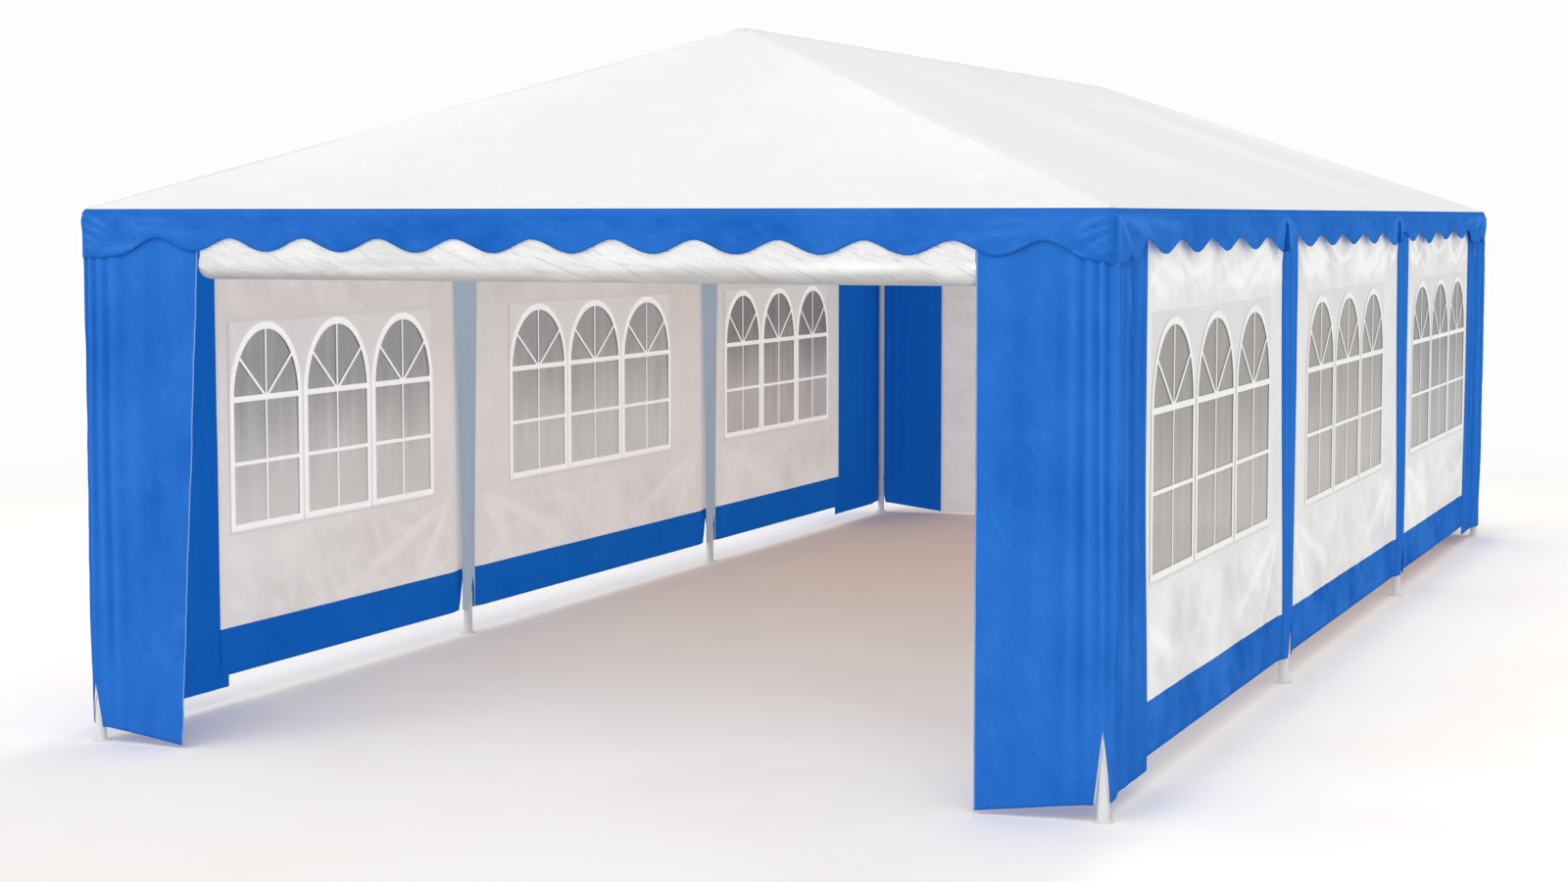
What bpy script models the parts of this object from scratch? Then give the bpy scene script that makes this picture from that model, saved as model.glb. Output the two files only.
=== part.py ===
"""A marquee tent, four metres by nine, with a hipped roof cover on a steel tube frame.

Metres, +Z up. The origin is on the ground in the middle of the plan. The open end with
the rolled-up door faces -Y, and +X is the right-hand long side seen from that end.
"""

import math

import bmesh
import bpy
from mathutils import Vector

# Driving dimensions
LEG_SPAN_X = 3.96
BAY_LENGTH = 2.98
BAYS = 3
EAVE_HEIGHT = 2.03
RIDGE_HEIGHT = 2.77
HIP_INSET = 1.715

TUBE_RADIUS = 0.021
SLEEVE_RADIUS = 0.0235
SLEEVE_LENGTH = 0.11
SLEEVE_OVERLAP = 0.004
ROUND_SIDES = 12

CLOTH = 0.004
VALANCE_CLOTH = 0.003
FILM = 0.002
GAP = 0.0003

FOOT_RADIUS = 0.0375
FOOT_THICKNESS = 0.004
SOCKET_TOP = 0.165
SWAGE_RADIUS = 0.019
SWAGE_TOP = 0.236
STEP_HEIGHT = 0.002

WRAP_WIDTH = 0.45
WRAP_SIDE_WIDTH = {-1: 0.86, 1: 0.54}
WRAP_TURN_IN = 0.20
WRAP_HEM_AT_FREE_EDGE = 0.012
WRAP_HEM_AT_LEG = 0.058
WRAP_HEM_ON_SIDE = 0.067
CORNER_SLIT_HEIGHT = 0.30
CORNER_SLIT_HALF_WIDTH = 0.045
PANEL_HEM = 0.115
POST_SLIT_HEIGHT = 0.28
POST_SLIT_HALF_WIDTH = 0.04
POST_WRAP_HALF_WIDTH = 0.17
POST_WRAP_SPARE = 0.0004

WINDOWS_PER_PANEL = 3
WINDOW_PITCH = {-1: (0.58, 0.66, 0.58), 1: (0.68, 0.68, 0.68)}
WINDOW_CENTRE = {-1: (-2.69, -0.06, 2.57), 1: (-2.87, -0.07, 2.86)}
WINDOW_BORDERS = 0.07
WINDOW_SILL = {-1: 0.715, 1: 0.735}
WINDOW_SPRING = {-1: 1.25, 1: 1.325}
WINDOW_ARCH_RISE = {-1: 0.29, 1: 0.30}
WINDOW_ARC_STEPS = 12
CUTTER_REACH = 0.03
FILM_MARGIN = 0.045

VALANCE_HUMP = 0.105
VALANCE_TONGUE = 0.160
VALANCE_CORNER = 0.180
END_HUMP_PITCH = 0.31
END_HUMPS = 12
SIDE_HUMPS_PER_BAY = 5
STEPS_PER_HUMP = 6

ROLL_RADIUS = 0.065
ROLL_BOTTOM = 1.77
ROLL_SIDES = 20

# Places worked out from them
LEG_X = LEG_SPAN_X / 2
LEG_Y = BAY_LENGTH * BAYS / 2
POST_YS = [-LEG_Y + BAY_LENGTH * i for i in range(BAYS + 1)]
WALL_IN = SLEEVE_RADIUS + GAP
WALL_OUT = WALL_IN + CLOTH
POST_WRAP_IN = WALL_IN + POST_WRAP_SPARE
VALANCE_OUT = POST_WRAP_IN + CLOTH + GAP + VALANCE_CLOTH
EAVE_X = LEG_X + VALANCE_OUT
EAVE_Y = LEG_Y + VALANCE_OUT
APEX_Y = EAVE_Y - HIP_INSET
RISE = RIDGE_HEIGHT - EAVE_HEIGHT
SIDE_SLOPE = RISE / EAVE_X
END_SLOPE = RISE / HIP_INSET
STEEPEST = math.hypot(1.0, END_SLOPE)
AXIS_DROP = (SLEEVE_RADIUS + CLOTH + 2 * GAP) * STEEPEST


def clear_scene():
    for obj in list(bpy.data.objects):
        bpy.data.objects.remove(obj, do_unlink=True)


def material(name, colour, roughness, metallic=0.0, alpha=1.0):
    mat = bpy.data.materials.new(name)
    mat.use_nodes = True
    shader = mat.node_tree.nodes["Principled BSDF"]
    shader.inputs["Base Color"].default_value = (*colour, 1.0)
    shader.inputs["Roughness"].default_value = roughness
    shader.inputs["Metallic"].default_value = metallic
    shader.inputs["Alpha"].default_value = alpha
    return mat


def link(name, mesh, mat):
    obj = bpy.data.objects.new(name, mesh)
    mesh.materials.append(mat)
    bpy.context.collection.objects.link(obj)
    return obj


def mesh_object(name, points, faces, mat):
    """One closed solid from its corner points and faces, turned so that the faces point out."""
    mesh = bpy.data.meshes.new(name)
    mesh.from_pydata([tuple(p) for p in points], [], faces)
    bm = bmesh.new()
    bm.from_mesh(mesh)
    bmesh.ops.recalc_face_normals(bm, faces=bm.faces)
    bm.to_mesh(mesh)
    bm.free()
    return link(name, mesh, mat)


# Tubes and joints
def tube(name, start, end, radius, mat):
    """A round tube between two points, modelled solid."""
    start, end = Vector(start), Vector(end)
    mesh = bpy.data.meshes.new(name)
    bm = bmesh.new()
    bmesh.ops.create_cone(
        bm,
        cap_ends=True,
        segments=ROUND_SIDES,
        radius1=radius,
        radius2=radius,
        depth=(end - start).length,
    )
    bm.to_mesh(mesh)
    bm.free()
    mesh.shade_smooth()
    mesh.set_sharp_from_angle(angle=math.radians(50))
    obj = link(name, mesh, mat)
    obj.location = (start + end) / 2
    obj.rotation_euler = (end - start).to_track_quat("Z", "Y").to_euler()
    return obj


def along(start, end, distance):
    """The point that lies this far from start on the way to end."""
    start, end = Vector(start), Vector(end)
    return start + (end - start).normalized() * distance


def joint(name, centre, targets, mat):
    """A welded fitting: one short sleeve towards each target point, from just past its centre."""
    sleeves = []
    for i, target in enumerate(targets):
        start = along(centre, target, -SLEEVE_OVERLAP * (1 + i / len(targets)))
        tip = along(centre, target, SLEEVE_LENGTH)
        sleeves.append(tube(f"{name}_sleeve_{i}", start, tip, SLEEVE_RADIUS, mat))
    body = sleeves[0]
    body.name = name
    for sleeve in sleeves[1:]:
        sleeve.hide_render = True
        sleeve.display_type = "WIRE"
        union = body.modifiers.new("union", "BOOLEAN")
        union.operation = "UNION"
        union.object = sleeve
    return body


def between_joints(name, start, end, mat):
    """The tube that fills the way between the sleeves of two joints."""
    reach = SLEEVE_LENGTH + GAP
    return tube(name, along(start, end, reach), along(end, start, reach), TUBE_RADIUS, mat)


def leg(name, x, y, top, mat):
    """A turned leg: foot plate, foot socket, the narrow end that slips into it, and the tube."""
    profile = [
        (0.0, 0.0),
        (FOOT_RADIUS - 0.001, 0.0),
        (FOOT_RADIUS, 0.001),
        (FOOT_RADIUS, FOOT_THICKNESS - 0.001),
        (FOOT_RADIUS - 0.002, FOOT_THICKNESS),
        (TUBE_RADIUS + 0.004, FOOT_THICKNESS + STEP_HEIGHT),
        (TUBE_RADIUS, FOOT_THICKNESS + 0.006),
        (TUBE_RADIUS, SOCKET_TOP),
        (SWAGE_RADIUS, SOCKET_TOP + STEP_HEIGHT),
        (SWAGE_RADIUS, SWAGE_TOP),
        (TUBE_RADIUS, SWAGE_TOP + STEP_HEIGHT),
        (TUBE_RADIUS, top),
        (0.0, top),
    ]
    mesh = bpy.data.meshes.new(name)
    bm = bmesh.new()
    verts = [bm.verts.new((radius, 0.0, height)) for radius, height in profile]
    edges = [bm.edges.new(pair) for pair in zip(verts, verts[1:])]
    bmesh.ops.spin(
        bm,
        geom=verts + edges,
        cent=(0, 0, 0),
        axis=(0, 0, 1),
        angle=2 * math.pi,
        steps=ROUND_SIDES,
        use_merge=False,
    )
    bmesh.ops.remove_doubles(bm, verts=bm.verts, dist=0.00005)
    bmesh.ops.recalc_face_normals(bm, faces=bm.faces)
    bm.to_mesh(mesh)
    bm.free()
    mesh.shade_smooth()
    mesh.set_sharp_from_angle(angle=math.radians(50))
    obj = link(name, mesh, mat)
    obj.location = (x, y, 0.0)
    return obj


# Hanging cloth
def hanging_strip(name, stations, mat):
    """A vertical sheet. Each station is (outer x, outer y, inner x, inner y, bottom, top)."""
    points = []
    for ox, oy, ix, iy, bottom, top in stations:
        points += [(ox, oy, bottom), (ox, oy, top), (ix, iy, top), (ix, iy, bottom)]
    faces = [(0, 1, 2, 3)]
    for i in range(len(stations) - 1):
        near, far = 4 * i, 4 * (i + 1)
        for a in range(4):
            b = (a + 1) % 4
            faces.append((near + a, near + b, far + b, far + a))
    last = 4 * (len(stations) - 1)
    faces.append((last + 3, last + 2, last + 1, last))
    return mesh_object(name, points, faces, mat)


def corner_wrap(name, side_x, side_y, mat):
    """The cloth round one corner leg, slit at the foot so that the leg can stand clear."""
    out_x, in_x = LEG_X + WALL_OUT, LEG_X + WALL_IN
    out_y, in_y = LEG_Y + WALL_OUT, LEG_Y + WALL_IN
    free_x = out_x - WRAP_WIDTH
    free_y = out_y - WRAP_SIDE_WIDTH[side_x]
    slit_x = out_x - CORNER_SLIT_HALF_WIDTH
    slit_y = out_y - CORNER_SLIT_HALF_WIDTH
    turned_y = out_y - WRAP_TURN_IN
    plane_out, plane_in = LEG_X + CLOTH / 2, LEG_X - CLOTH / 2
    stations = [
        (free_x, out_y, free_x, in_y, WRAP_HEM_AT_FREE_EDGE, EAVE_AXIS),
        (slit_x, out_y, slit_x, in_y, WRAP_HEM_AT_LEG, EAVE_AXIS),
        (out_x, out_y, in_x, in_y, CORNER_SLIT_HEIGHT, EAVE_AXIS),
        (out_x, slit_y, in_x, slit_y, WRAP_HEM_ON_SIDE, WALL_TOP),
        (plane_out, turned_y, plane_in, turned_y, WRAP_HEM_ON_SIDE, WALL_TOP),
        (plane_out, free_y, plane_in, free_y, WRAP_HEM_ON_SIDE, WALL_TOP),
    ]
    placed = [
        (side_x * ox, side_y * oy, side_x * ix, side_y * iy, hem, top)
        for ox, oy, ix, iy, hem, top in stations
    ]
    return hanging_strip(name, placed, mat)


def arched_outline(side_x, centre, width):
    """The outline of one arched window as (y, z) points."""
    half = width / 2
    sill, spring = WINDOW_SILL[side_x], WINDOW_SPRING[side_x]
    outline = [(centre - half, sill), (centre + half, sill)]
    for i in range(WINDOW_ARC_STEPS + 1):
        turn = math.pi * i / WINDOW_ARC_STEPS
        rise = WINDOW_ARCH_RISE[side_x] * math.sin(turn)
        outline.append((centre + half * math.cos(turn), spring + rise))
    return outline


def window_cutter(name, side_x, centre, pitch, mat):
    """Three arched blocks that pass right through a side panel."""
    points, faces = [], []
    inner = side_x * (LEG_X - CUTTER_REACH)
    outer = side_x * (LEG_X + CUTTER_REACH)
    for i in range(WINDOWS_PER_PANEL):
        offset = (i - (WINDOWS_PER_PANEL - 1) / 2) * pitch
        outline = arched_outline(side_x, centre + offset, pitch - WINDOW_BORDERS)
        count, first = len(outline), len(points)
        points += [(inner, y, z) for y, z in outline] + [(outer, y, z) for y, z in outline]
        near = [first + a for a in range(count)]
        far = [first + count + a for a in range(count)]
        faces += [tuple(near), tuple(reversed(far))]
        for a in range(count):
            b = (a + 1) % count
            faces.append((near[a], near[b], far[b], far[a]))
    cutter = mesh_object(name, points, faces, mat)
    cutter.hide_render = True
    cutter.display_type = "WIRE"
    return cutter


def panel_ends(side_x, bay):
    """The two ends of a side panel along Y, and whether each of them is at a mid post."""
    low, high = POST_YS[bay] + GAP / 2, POST_YS[bay + 1] - GAP / 2
    low_post, high_post = bay > 0, bay < BAYS - 1
    wrap_end = LEG_Y + WALL_OUT - WRAP_SIDE_WIDTH[side_x] - GAP
    if not low_post:
        low = -wrap_end
    if not high_post:
        high = wrap_end
    return low, high, low_post, high_post


def side_panel(name, side_x, bay, mat):
    """A side wall panel with three arched windows.

    It hangs in the plane of the legs, bulges out over the outer half of each mid post, and
    is slit at the foot of the post.
    """
    low, high, low_post, high_post = panel_ends(side_x, bay)
    in_plane = -CLOTH / 2
    slit_share = POST_SLIT_HALF_WIDTH / POST_WRAP_HALF_WIDTH
    at_slit = POST_WRAP_IN + (in_plane - POST_WRAP_IN) * slit_share
    half_wrap = [
        (0.0, POST_WRAP_IN, POST_SLIT_HEIGHT),
        (POST_SLIT_HALF_WIDTH, at_slit, PANEL_HEM),
        (POST_WRAP_HALF_WIDTH, in_plane, PANEL_HEM),
    ]
    at_wrap = [(0.0, in_plane, PANEL_HEM)]
    start = half_wrap if low_post else at_wrap
    ending = half_wrap if high_post else at_wrap
    stations = [(low + d, offset, hem) for d, offset, hem in start]
    stations += [(high - d, offset, hem) for d, offset, hem in reversed(ending)]
    strip = []
    for y, offset, hem in stations:
        inner, outer = side_x * (LEG_X + offset), side_x * (LEG_X + offset + CLOTH)
        strip.append((outer, y, inner, y, hem, WALL_TOP))
    panel = hanging_strip(name, strip, mat)
    cut = panel.modifiers.new("windows", "BOOLEAN")
    cut.operation = "DIFFERENCE"
    centre, pitch = WINDOW_CENTRE[side_x][bay], WINDOW_PITCH[side_x][bay]
    cut.object = window_cutter(f"{name}_cutter", side_x, centre, pitch, mat)
    return panel


def window_film(name, side_x, bay, mat):
    """The clear film behind the three windows of one panel."""
    half = WINDOW_PITCH[side_x][bay] * WINDOWS_PER_PANEL / 2 + FILM_MARGIN / 2
    centre = WINDOW_CENTRE[side_x][bay]
    outer = side_x * (LEG_X - CLOTH / 2 - GAP)
    inner = side_x * (LEG_X - CLOTH / 2 - GAP - FILM)
    bottom = WINDOW_SILL[side_x] - FILM_MARGIN
    top = WINDOW_SPRING[side_x] + WINDOW_ARCH_RISE[side_x] + FILM_MARGIN
    strip = [(outer, y, inner, y, bottom, top) for y in (centre - half, centre + half)]
    return hanging_strip(name, strip, mat)


# Roof cover
def scallop(distance, pitch, count, length):
    """The depth of the valance at this distance from its middle: humps, and full corners."""
    edge = count * pitch / 2
    if abs(distance) > edge:
        corner = length / 2 - edge
        share = (abs(distance) - edge) / corner
        return VALANCE_TONGUE + (VALANCE_CORNER - VALANCE_TONGUE) * min(1.0, share)
    shift = 0.0 if count % 2 else pitch / 2
    wave = math.cos(2 * math.pi * (distance + shift) / pitch)
    return (VALANCE_TONGUE + VALANCE_HUMP) / 2 - wave * (VALANCE_TONGUE - VALANCE_HUMP) / 2


def cover_part(name, half_eave, run, half_ridge, pitch, humps, place, mat):
    """One slope of the cover with its scalloped valance.

    It is drawn with the eave along u, v pointing in from the eave and w up, and place()
    turns (u, v, w) into the tent's own frame. The hip edges are mitred.
    """
    slope = RISE / run
    drop = CLOTH * math.hypot(1.0, slope)
    mitre = (half_eave - half_ridge) / run
    inset = GAP / 2 * math.hypot(1.0, mitre)
    count = humps * STEPS_PER_HUMP + 4
    edge = humps * pitch / 2
    inner = [-edge + pitch / STEPS_PER_HUMP * i for i in range(humps * STEPS_PER_HUMP + 1)]
    us = [-half_eave] + inner + [half_eave]
    outer_half = half_eave - inset
    inner_half = half_eave - inset - VALANCE_CLOTH * mitre
    ridge_half = max(half_ridge - inset, 0.0)
    ridge_v = run - inset / mitre if half_ridge == 0 else run - GAP / 2
    points, rows = [], []
    for u in us:
        depth = EAVE_HEIGHT - scallop(u, pitch, humps, 2 * half_eave)
        out_u = max(-outer_half, min(outer_half, u))
        in_u = max(-inner_half, min(inner_half, u))
        under = EAVE_HEIGHT + VALANCE_CLOTH * slope - drop
        rows.append(len(points))
        points += [
            (out_u, 0.0, EAVE_HEIGHT),
            (out_u, 0.0, depth),
            (in_u, VALANCE_CLOTH, depth),
            (in_u, VALANCE_CLOTH, under),
        ]
    ridge_top = EAVE_HEIGHT + ridge_v * slope
    ridge = [(-ridge_half, ridge_v), (ridge_half, ridge_v)] if ridge_half else [(0.0, ridge_v)]
    tops = []
    for u, v in ridge:
        tops.append(len(points))
        points += [(u, v, ridge_top), (u, v, ridge_top - drop)]
    faces = []
    for near, far in zip(rows, rows[1:]):
        for a in range(3):
            faces.append((near + a, near + a + 1, far + a + 1, far + a))
    faces.append(tuple([row for row in rows] + [top for top in reversed(tops)]))
    faces.append(tuple([row + 3 for row in rows] + [top + 1 for top in reversed(tops)]))
    for row, top in ((rows[0], tops[0]), (rows[-1], tops[-1])):
        faces.append((row, row + 1, row + 2, row + 3, top + 1, top))
    if len(tops) == 2:
        faces.append((tops[0], tops[1], tops[1] + 1, tops[0] + 1))
    return mesh_object(name, [place(*p) for p in points], faces, mat)


# The rolled-up door
def rolled_door(name, mat):
    """The centre front panel, rolled up and hanging from the front eave tube on its own top."""
    front = -(LEG_Y + WALL_OUT)
    centre_y, centre_z = front + ROLL_RADIUS, ROLL_BOTTOM + ROLL_RADIUS
    leave = math.pi - math.acos((ROLL_RADIUS - CLOTH) / ROLL_RADIUS)
    outline = []
    for i in range(ROLL_SIDES + 1):
        turn = math.pi + (math.pi + leave) * i / ROLL_SIDES
        outline.append(
            (centre_y + ROLL_RADIUS * math.cos(turn), centre_z + ROLL_RADIUS * math.sin(turn))
        )
    outline += [(front + CLOTH, EAVE_AXIS), (front, EAVE_AXIS)]
    half = LEG_X + WALL_OUT - WRAP_WIDTH - GAP
    count = len(outline)
    points = [(-half, y, z) for y, z in outline] + [(half, y, z) for y, z in outline]
    faces = [tuple(range(count)), tuple(range(2 * count - 1, count - 1, -1))]
    for a in range(count):
        b = (a + 1) % count
        faces.append((a, b, count + b, count + a))
    return mesh_object(name, points, faces, mat)


# Axes of the frame tubes, all the same small drop below the cover
EAVE_AXIS = EAVE_HEIGHT + SIDE_SLOPE * (EAVE_X - LEG_X) - AXIS_DROP
RIDGE_AXIS = EAVE_AXIS + SIDE_SLOPE * LEG_X
LEG_TOP = EAVE_AXIS - SLEEVE_LENGTH - GAP
WALL_TOP = EAVE_AXIS - SLEEVE_RADIUS - GAP

clear_scene()
white_steel = material("tube_white", (0.86, 0.86, 0.85), 0.35)
roof_white = material("roof_white", (0.90, 0.91, 0.91), 0.55)
panel_white = material("panel_white", (0.88, 0.88, 0.87), 0.55)
canvas_blue = material("canvas_blue", (0.016, 0.156, 0.617), 0.50)
clear_film = material("clear_film", (0.75, 0.76, 0.76), 0.15, alpha=0.35)

side_names = {-1: "left", 1: "right"}
end_names = {-1: "front", 1: "back"}
corner = {(sx, sy): (sx * LEG_X, sy * LEG_Y, EAVE_AXIS) for sx in (-1, 1) for sy in (-1, 1)}
apex = {sy: (0.0, sy * APEX_Y, RIDGE_AXIS) for sy in (-1, 1)}

# Legs and the joints on top of them
for sx, side in side_names.items():
    for i, y in enumerate(POST_YS):
        leg(f"leg_{side}_{i + 1}", sx * LEG_X, y, LEG_TOP, white_steel)
        centre = (sx * LEG_X, y, EAVE_AXIS)
        foot = (sx * LEG_X, y, 0.0)
        targets = [foot]
        if i > 0:
            targets.append((sx * LEG_X, POST_YS[i - 1], EAVE_AXIS))
        if i < BAYS:
            targets.append((sx * LEG_X, POST_YS[i + 1], EAVE_AXIS))
        if i in (0, BAYS):
            end = -1 if i == 0 else 1
            targets += [corner[(-sx, end)], apex[end]]
            joint(f"corner_joint_{end_names[end]}_{side}", centre, targets, white_steel)
        else:
            targets.append((0.0, y, RIDGE_AXIS))
            joint(f"side_joint_{side}_{i + 1}", centre, targets, white_steel)

# Eave tubes
for sy, end in end_names.items():
    between_joints(f"eave_tube_{end}", corner[(-1, sy)], corner[(1, sy)], white_steel)
for sx, side in side_names.items():
    for bay in range(BAYS):
        start = (sx * LEG_X, POST_YS[bay], EAVE_AXIS)
        end = (sx * LEG_X, POST_YS[bay + 1], EAVE_AXIS)
        between_joints(f"eave_tube_{side}_{bay + 1}", start, end, white_steel)

# Ridge, hip rafters and side rafters
for sy, end in end_names.items():
    targets = [apex[-sy], corner[(-1, sy)], corner[(1, sy)]]
    joint(f"apex_joint_{end}", apex[sy], targets, white_steel)
    for sx, side in side_names.items():
        between_joints(f"hip_rafter_{end}_{side}", corner[(sx, sy)], apex[sy], white_steel)
between_joints("ridge_tube", apex[-1], apex[1], white_steel)
for sx, side in side_names.items():
    for i in range(1, BAYS):
        foot = (sx * LEG_X, POST_YS[i], EAVE_AXIS)
        top = (0.0, POST_YS[i], RIDGE_AXIS)
        rafter_end = along(top, foot, TUBE_RADIUS + GAP)
        rafter_start = along(foot, top, SLEEVE_LENGTH + GAP)
        tube(f"side_rafter_{side}_{i + 1}", rafter_start, rafter_end, TUBE_RADIUS, white_steel)

# Cover, one sewn piece for each slope
side_pitch = BAY_LENGTH / SIDE_HUMPS_PER_BAY
for sx, side in side_names.items():
    cover_part(
        f"roof_cover_{side}",
        EAVE_Y,
        EAVE_X,
        APEX_Y,
        side_pitch,
        SIDE_HUMPS_PER_BAY * BAYS,
        lambda u, v, w, sx=sx: (sx * (EAVE_X - v), u, w),
        roof_white,
    )
for sy, end in end_names.items():
    cover_part(
        f"roof_cover_{end}",
        EAVE_X,
        HIP_INSET,
        0.0,
        END_HUMP_PITCH,
        END_HUMPS,
        lambda u, v, w, sy=sy: (u, sy * (EAVE_Y - v), w),
        roof_white,
    )

# Walls
for sx, side in side_names.items():
    for bay in range(BAYS):
        side_panel(f"side_panel_{side}_{bay + 1}", sx, bay, panel_white)
        window_film(f"window_film_{side}_{bay + 1}", sx, bay, clear_film)
    for sy, end in end_names.items():
        corner_wrap(f"corner_wrap_{end}_{side}", sx, sy, canvas_blue)
rear_half = LEG_X + WALL_OUT - WRAP_WIDTH - GAP
rear_out, rear_in = LEG_Y + WALL_OUT, LEG_Y + WALL_IN
hanging_strip(
    "rear_panel",
    [(x, rear_out, x, rear_in, WRAP_HEM_AT_FREE_EDGE, EAVE_AXIS) for x in (-rear_half, rear_half)],
    panel_white,
)
rolled_door("rolled_door", panel_white)
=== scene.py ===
"""The looks of a marquee tent: its finishes, its cloth and its fittings, built around the CAD frame.

Metres, +Z up. The open end with the rolled-up door faces -Y.
"""
import math
from collections import namedtuple

import bmesh
import bpy
import numpy as np
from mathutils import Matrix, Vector


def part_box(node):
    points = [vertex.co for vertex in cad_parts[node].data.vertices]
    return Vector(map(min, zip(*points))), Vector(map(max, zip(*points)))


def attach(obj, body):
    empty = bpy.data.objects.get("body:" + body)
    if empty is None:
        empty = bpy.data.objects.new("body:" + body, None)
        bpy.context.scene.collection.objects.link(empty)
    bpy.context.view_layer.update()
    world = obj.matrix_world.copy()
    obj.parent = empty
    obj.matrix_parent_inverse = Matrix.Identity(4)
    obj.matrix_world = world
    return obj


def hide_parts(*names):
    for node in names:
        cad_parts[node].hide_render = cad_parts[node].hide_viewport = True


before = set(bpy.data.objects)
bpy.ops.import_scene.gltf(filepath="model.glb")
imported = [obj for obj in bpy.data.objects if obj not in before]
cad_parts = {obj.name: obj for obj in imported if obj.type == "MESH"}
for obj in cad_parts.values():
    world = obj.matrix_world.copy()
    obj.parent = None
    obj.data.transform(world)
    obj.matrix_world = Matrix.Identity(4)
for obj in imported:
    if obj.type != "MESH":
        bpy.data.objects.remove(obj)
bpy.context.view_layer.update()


# Camera
# The tent is seen from in front of its right corner at head height. Lens and place come from
# fitting the feet, the eave corners and the roof's two peaks.
def add_object(name, data):
    """A new object in the scene."""
    made = bpy.data.objects.new(name, data)
    bpy.context.collection.objects.link(made)
    return made


camera_data = bpy.data.cameras.new("camera")
camera_data.lens = 63.77
camera_data.clip_end = 2000
camera = add_object("camera", camera_data)
camera.location = (4.336, -13.317, 2.005)
camera.rotation_euler = (math.radians(85.38), 0, math.radians(21.56))
bpy.context.scene.camera = camera


# Floor and light
# A pale floor that runs out of sight, an even white sky and one very wide light from the tent's
# front, so that the shadows stay faint.
def add_node(tree, kind, **settings):
    """A shader node with its attributes, and its numbered or named inputs given as in_NAME."""
    node = tree.nodes.new(kind)
    for key, value in settings.items():
        if key.startswith("in_"):
            slot = key[3:].replace("_", " ")
            node.inputs[int(slot) if slot.isdigit() else slot].default_value = value
        else:
            setattr(node, key, value)
    return node


def start_material(name, roughness, **settings):
    """A new material with its shader, and the object's own coordinates to paint it by."""
    material = bpy.data.materials.new(name)
    material.use_nodes = True
    tree = material.node_tree
    shader = tree.nodes["Principled BSDF"]
    shader.inputs["Roughness"].default_value = roughness
    for key, value in settings.items():
        shader.inputs[key.replace("_", " ")].default_value = value
    place = add_node(tree, "ShaderNodeTexCoord").outputs["Object"]
    return material, tree, shader, place


def mixed(tree, fac, first, second):
    """A colour that runs from first to second, plain colours or sockets, as fac goes from 0 to 1."""
    mix = add_node(tree, "ShaderNodeMix", data_type="RGBA")
    for socket, colour in ((mix.inputs[6], first), (mix.inputs[7], second)):
        if isinstance(colour, bpy.types.NodeSocket):
            tree.links.new(colour, socket)
        else:
            socket.default_value = (*colour, 1)
    tree.links.new(fac, mix.inputs[0])
    return mix.outputs[2]


def maths(tree, operation, first, second=0.5, third=None, clamp=False):
    """One sum on sockets or plain numbers."""
    node = add_node(tree, "ShaderNodeMath", operation=operation, use_clamp=clamp)
    for socket, value in zip(node.inputs, (first, second, third)):
        if isinstance(value, bpy.types.NodeSocket):
            tree.links.new(value, socket)
        elif value is not None:
            socket.default_value = value
    return node.outputs[0]


def ramp(tree, value, low, high):
    """Rises smoothly from 0 at low to 1 at high, or falls where low is the greater."""
    if low > high:
        return maths(tree, "SUBTRACT", 1.0, ramp(tree, value, high, low))
    node = add_node(tree, "ShaderNodeMapRange", in_1=low, in_2=high, interpolation_type="SMOOTHSTEP")
    tree.links.new(value, node.inputs[0])
    return node.outputs[0]


def split_axes(tree, vector):
    """The X, Y and Z of a vector, as sockets."""
    node = add_node(tree, "ShaderNodeSeparateXYZ")
    tree.links.new(vector, node.inputs[0])
    return node.outputs


def add_glow(material, shader, strength, colour=None):
    """Lets a surface shine a little by itself, as cloth does with light behind it."""
    if colour:
        shader.inputs["Emission Color"].default_value = (*colour, 1)
    shader.inputs["Emission Strength"].default_value = strength
    material.cycles.emission_sampling = "NONE"


FLOOR_CLEAN = (0.975, 0.955, 0.935)
FLOOR_WORN = (0.950, 0.915, 0.890)
FLOOR_PAINTED_SHADE = (0.925, 0.768, 0.67)
FLOOR_PAINTED_LIGHT = (0.14, 0.133, 0.120)
HORIZON = (0.985, 0.985, 0.975)
FLOOR_REACH = 400.0

# Where the floor's colour changes, in metres from the tent's middle: from none of it to all of it
FAR_FLOOR = (4.5, 12.0)
SHADE_DEEPENS = (-4.0, 3.0)
SHADE_BACK = (5.0, 4.4)
SHADE_SIDES = (2.05, 1.85)
LIFT_BACK = (4.4, 5.2)
LIFT_SIDES = (1.98, 2.25)
LIFT_NEAR = (9.0, 5.5)

floor_material, tree, shader, place = start_material("floor_paint", 0.8, Specular_IOR_Level=0.15)
mottle = add_node(tree, "ShaderNodeTexNoise", in_Scale=0.9, in_Detail=5.0)
tree.links.new(place, mottle.inputs["Vector"])
far_off = add_node(tree, "ShaderNodeVectorMath", operation="LENGTH")
tree.links.new(place, far_off.inputs[0])
far_off = far_off.outputs["Value"]
open_floor = mixed(tree, ramp(tree, mottle.outputs["Fac"], 0.40, 0.68), FLOOR_CLEAN, FLOOR_WORN)
clear_floor = mixed(tree, ramp(tree, far_off, *FAR_FLOOR), open_floor, HORIZON)
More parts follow.
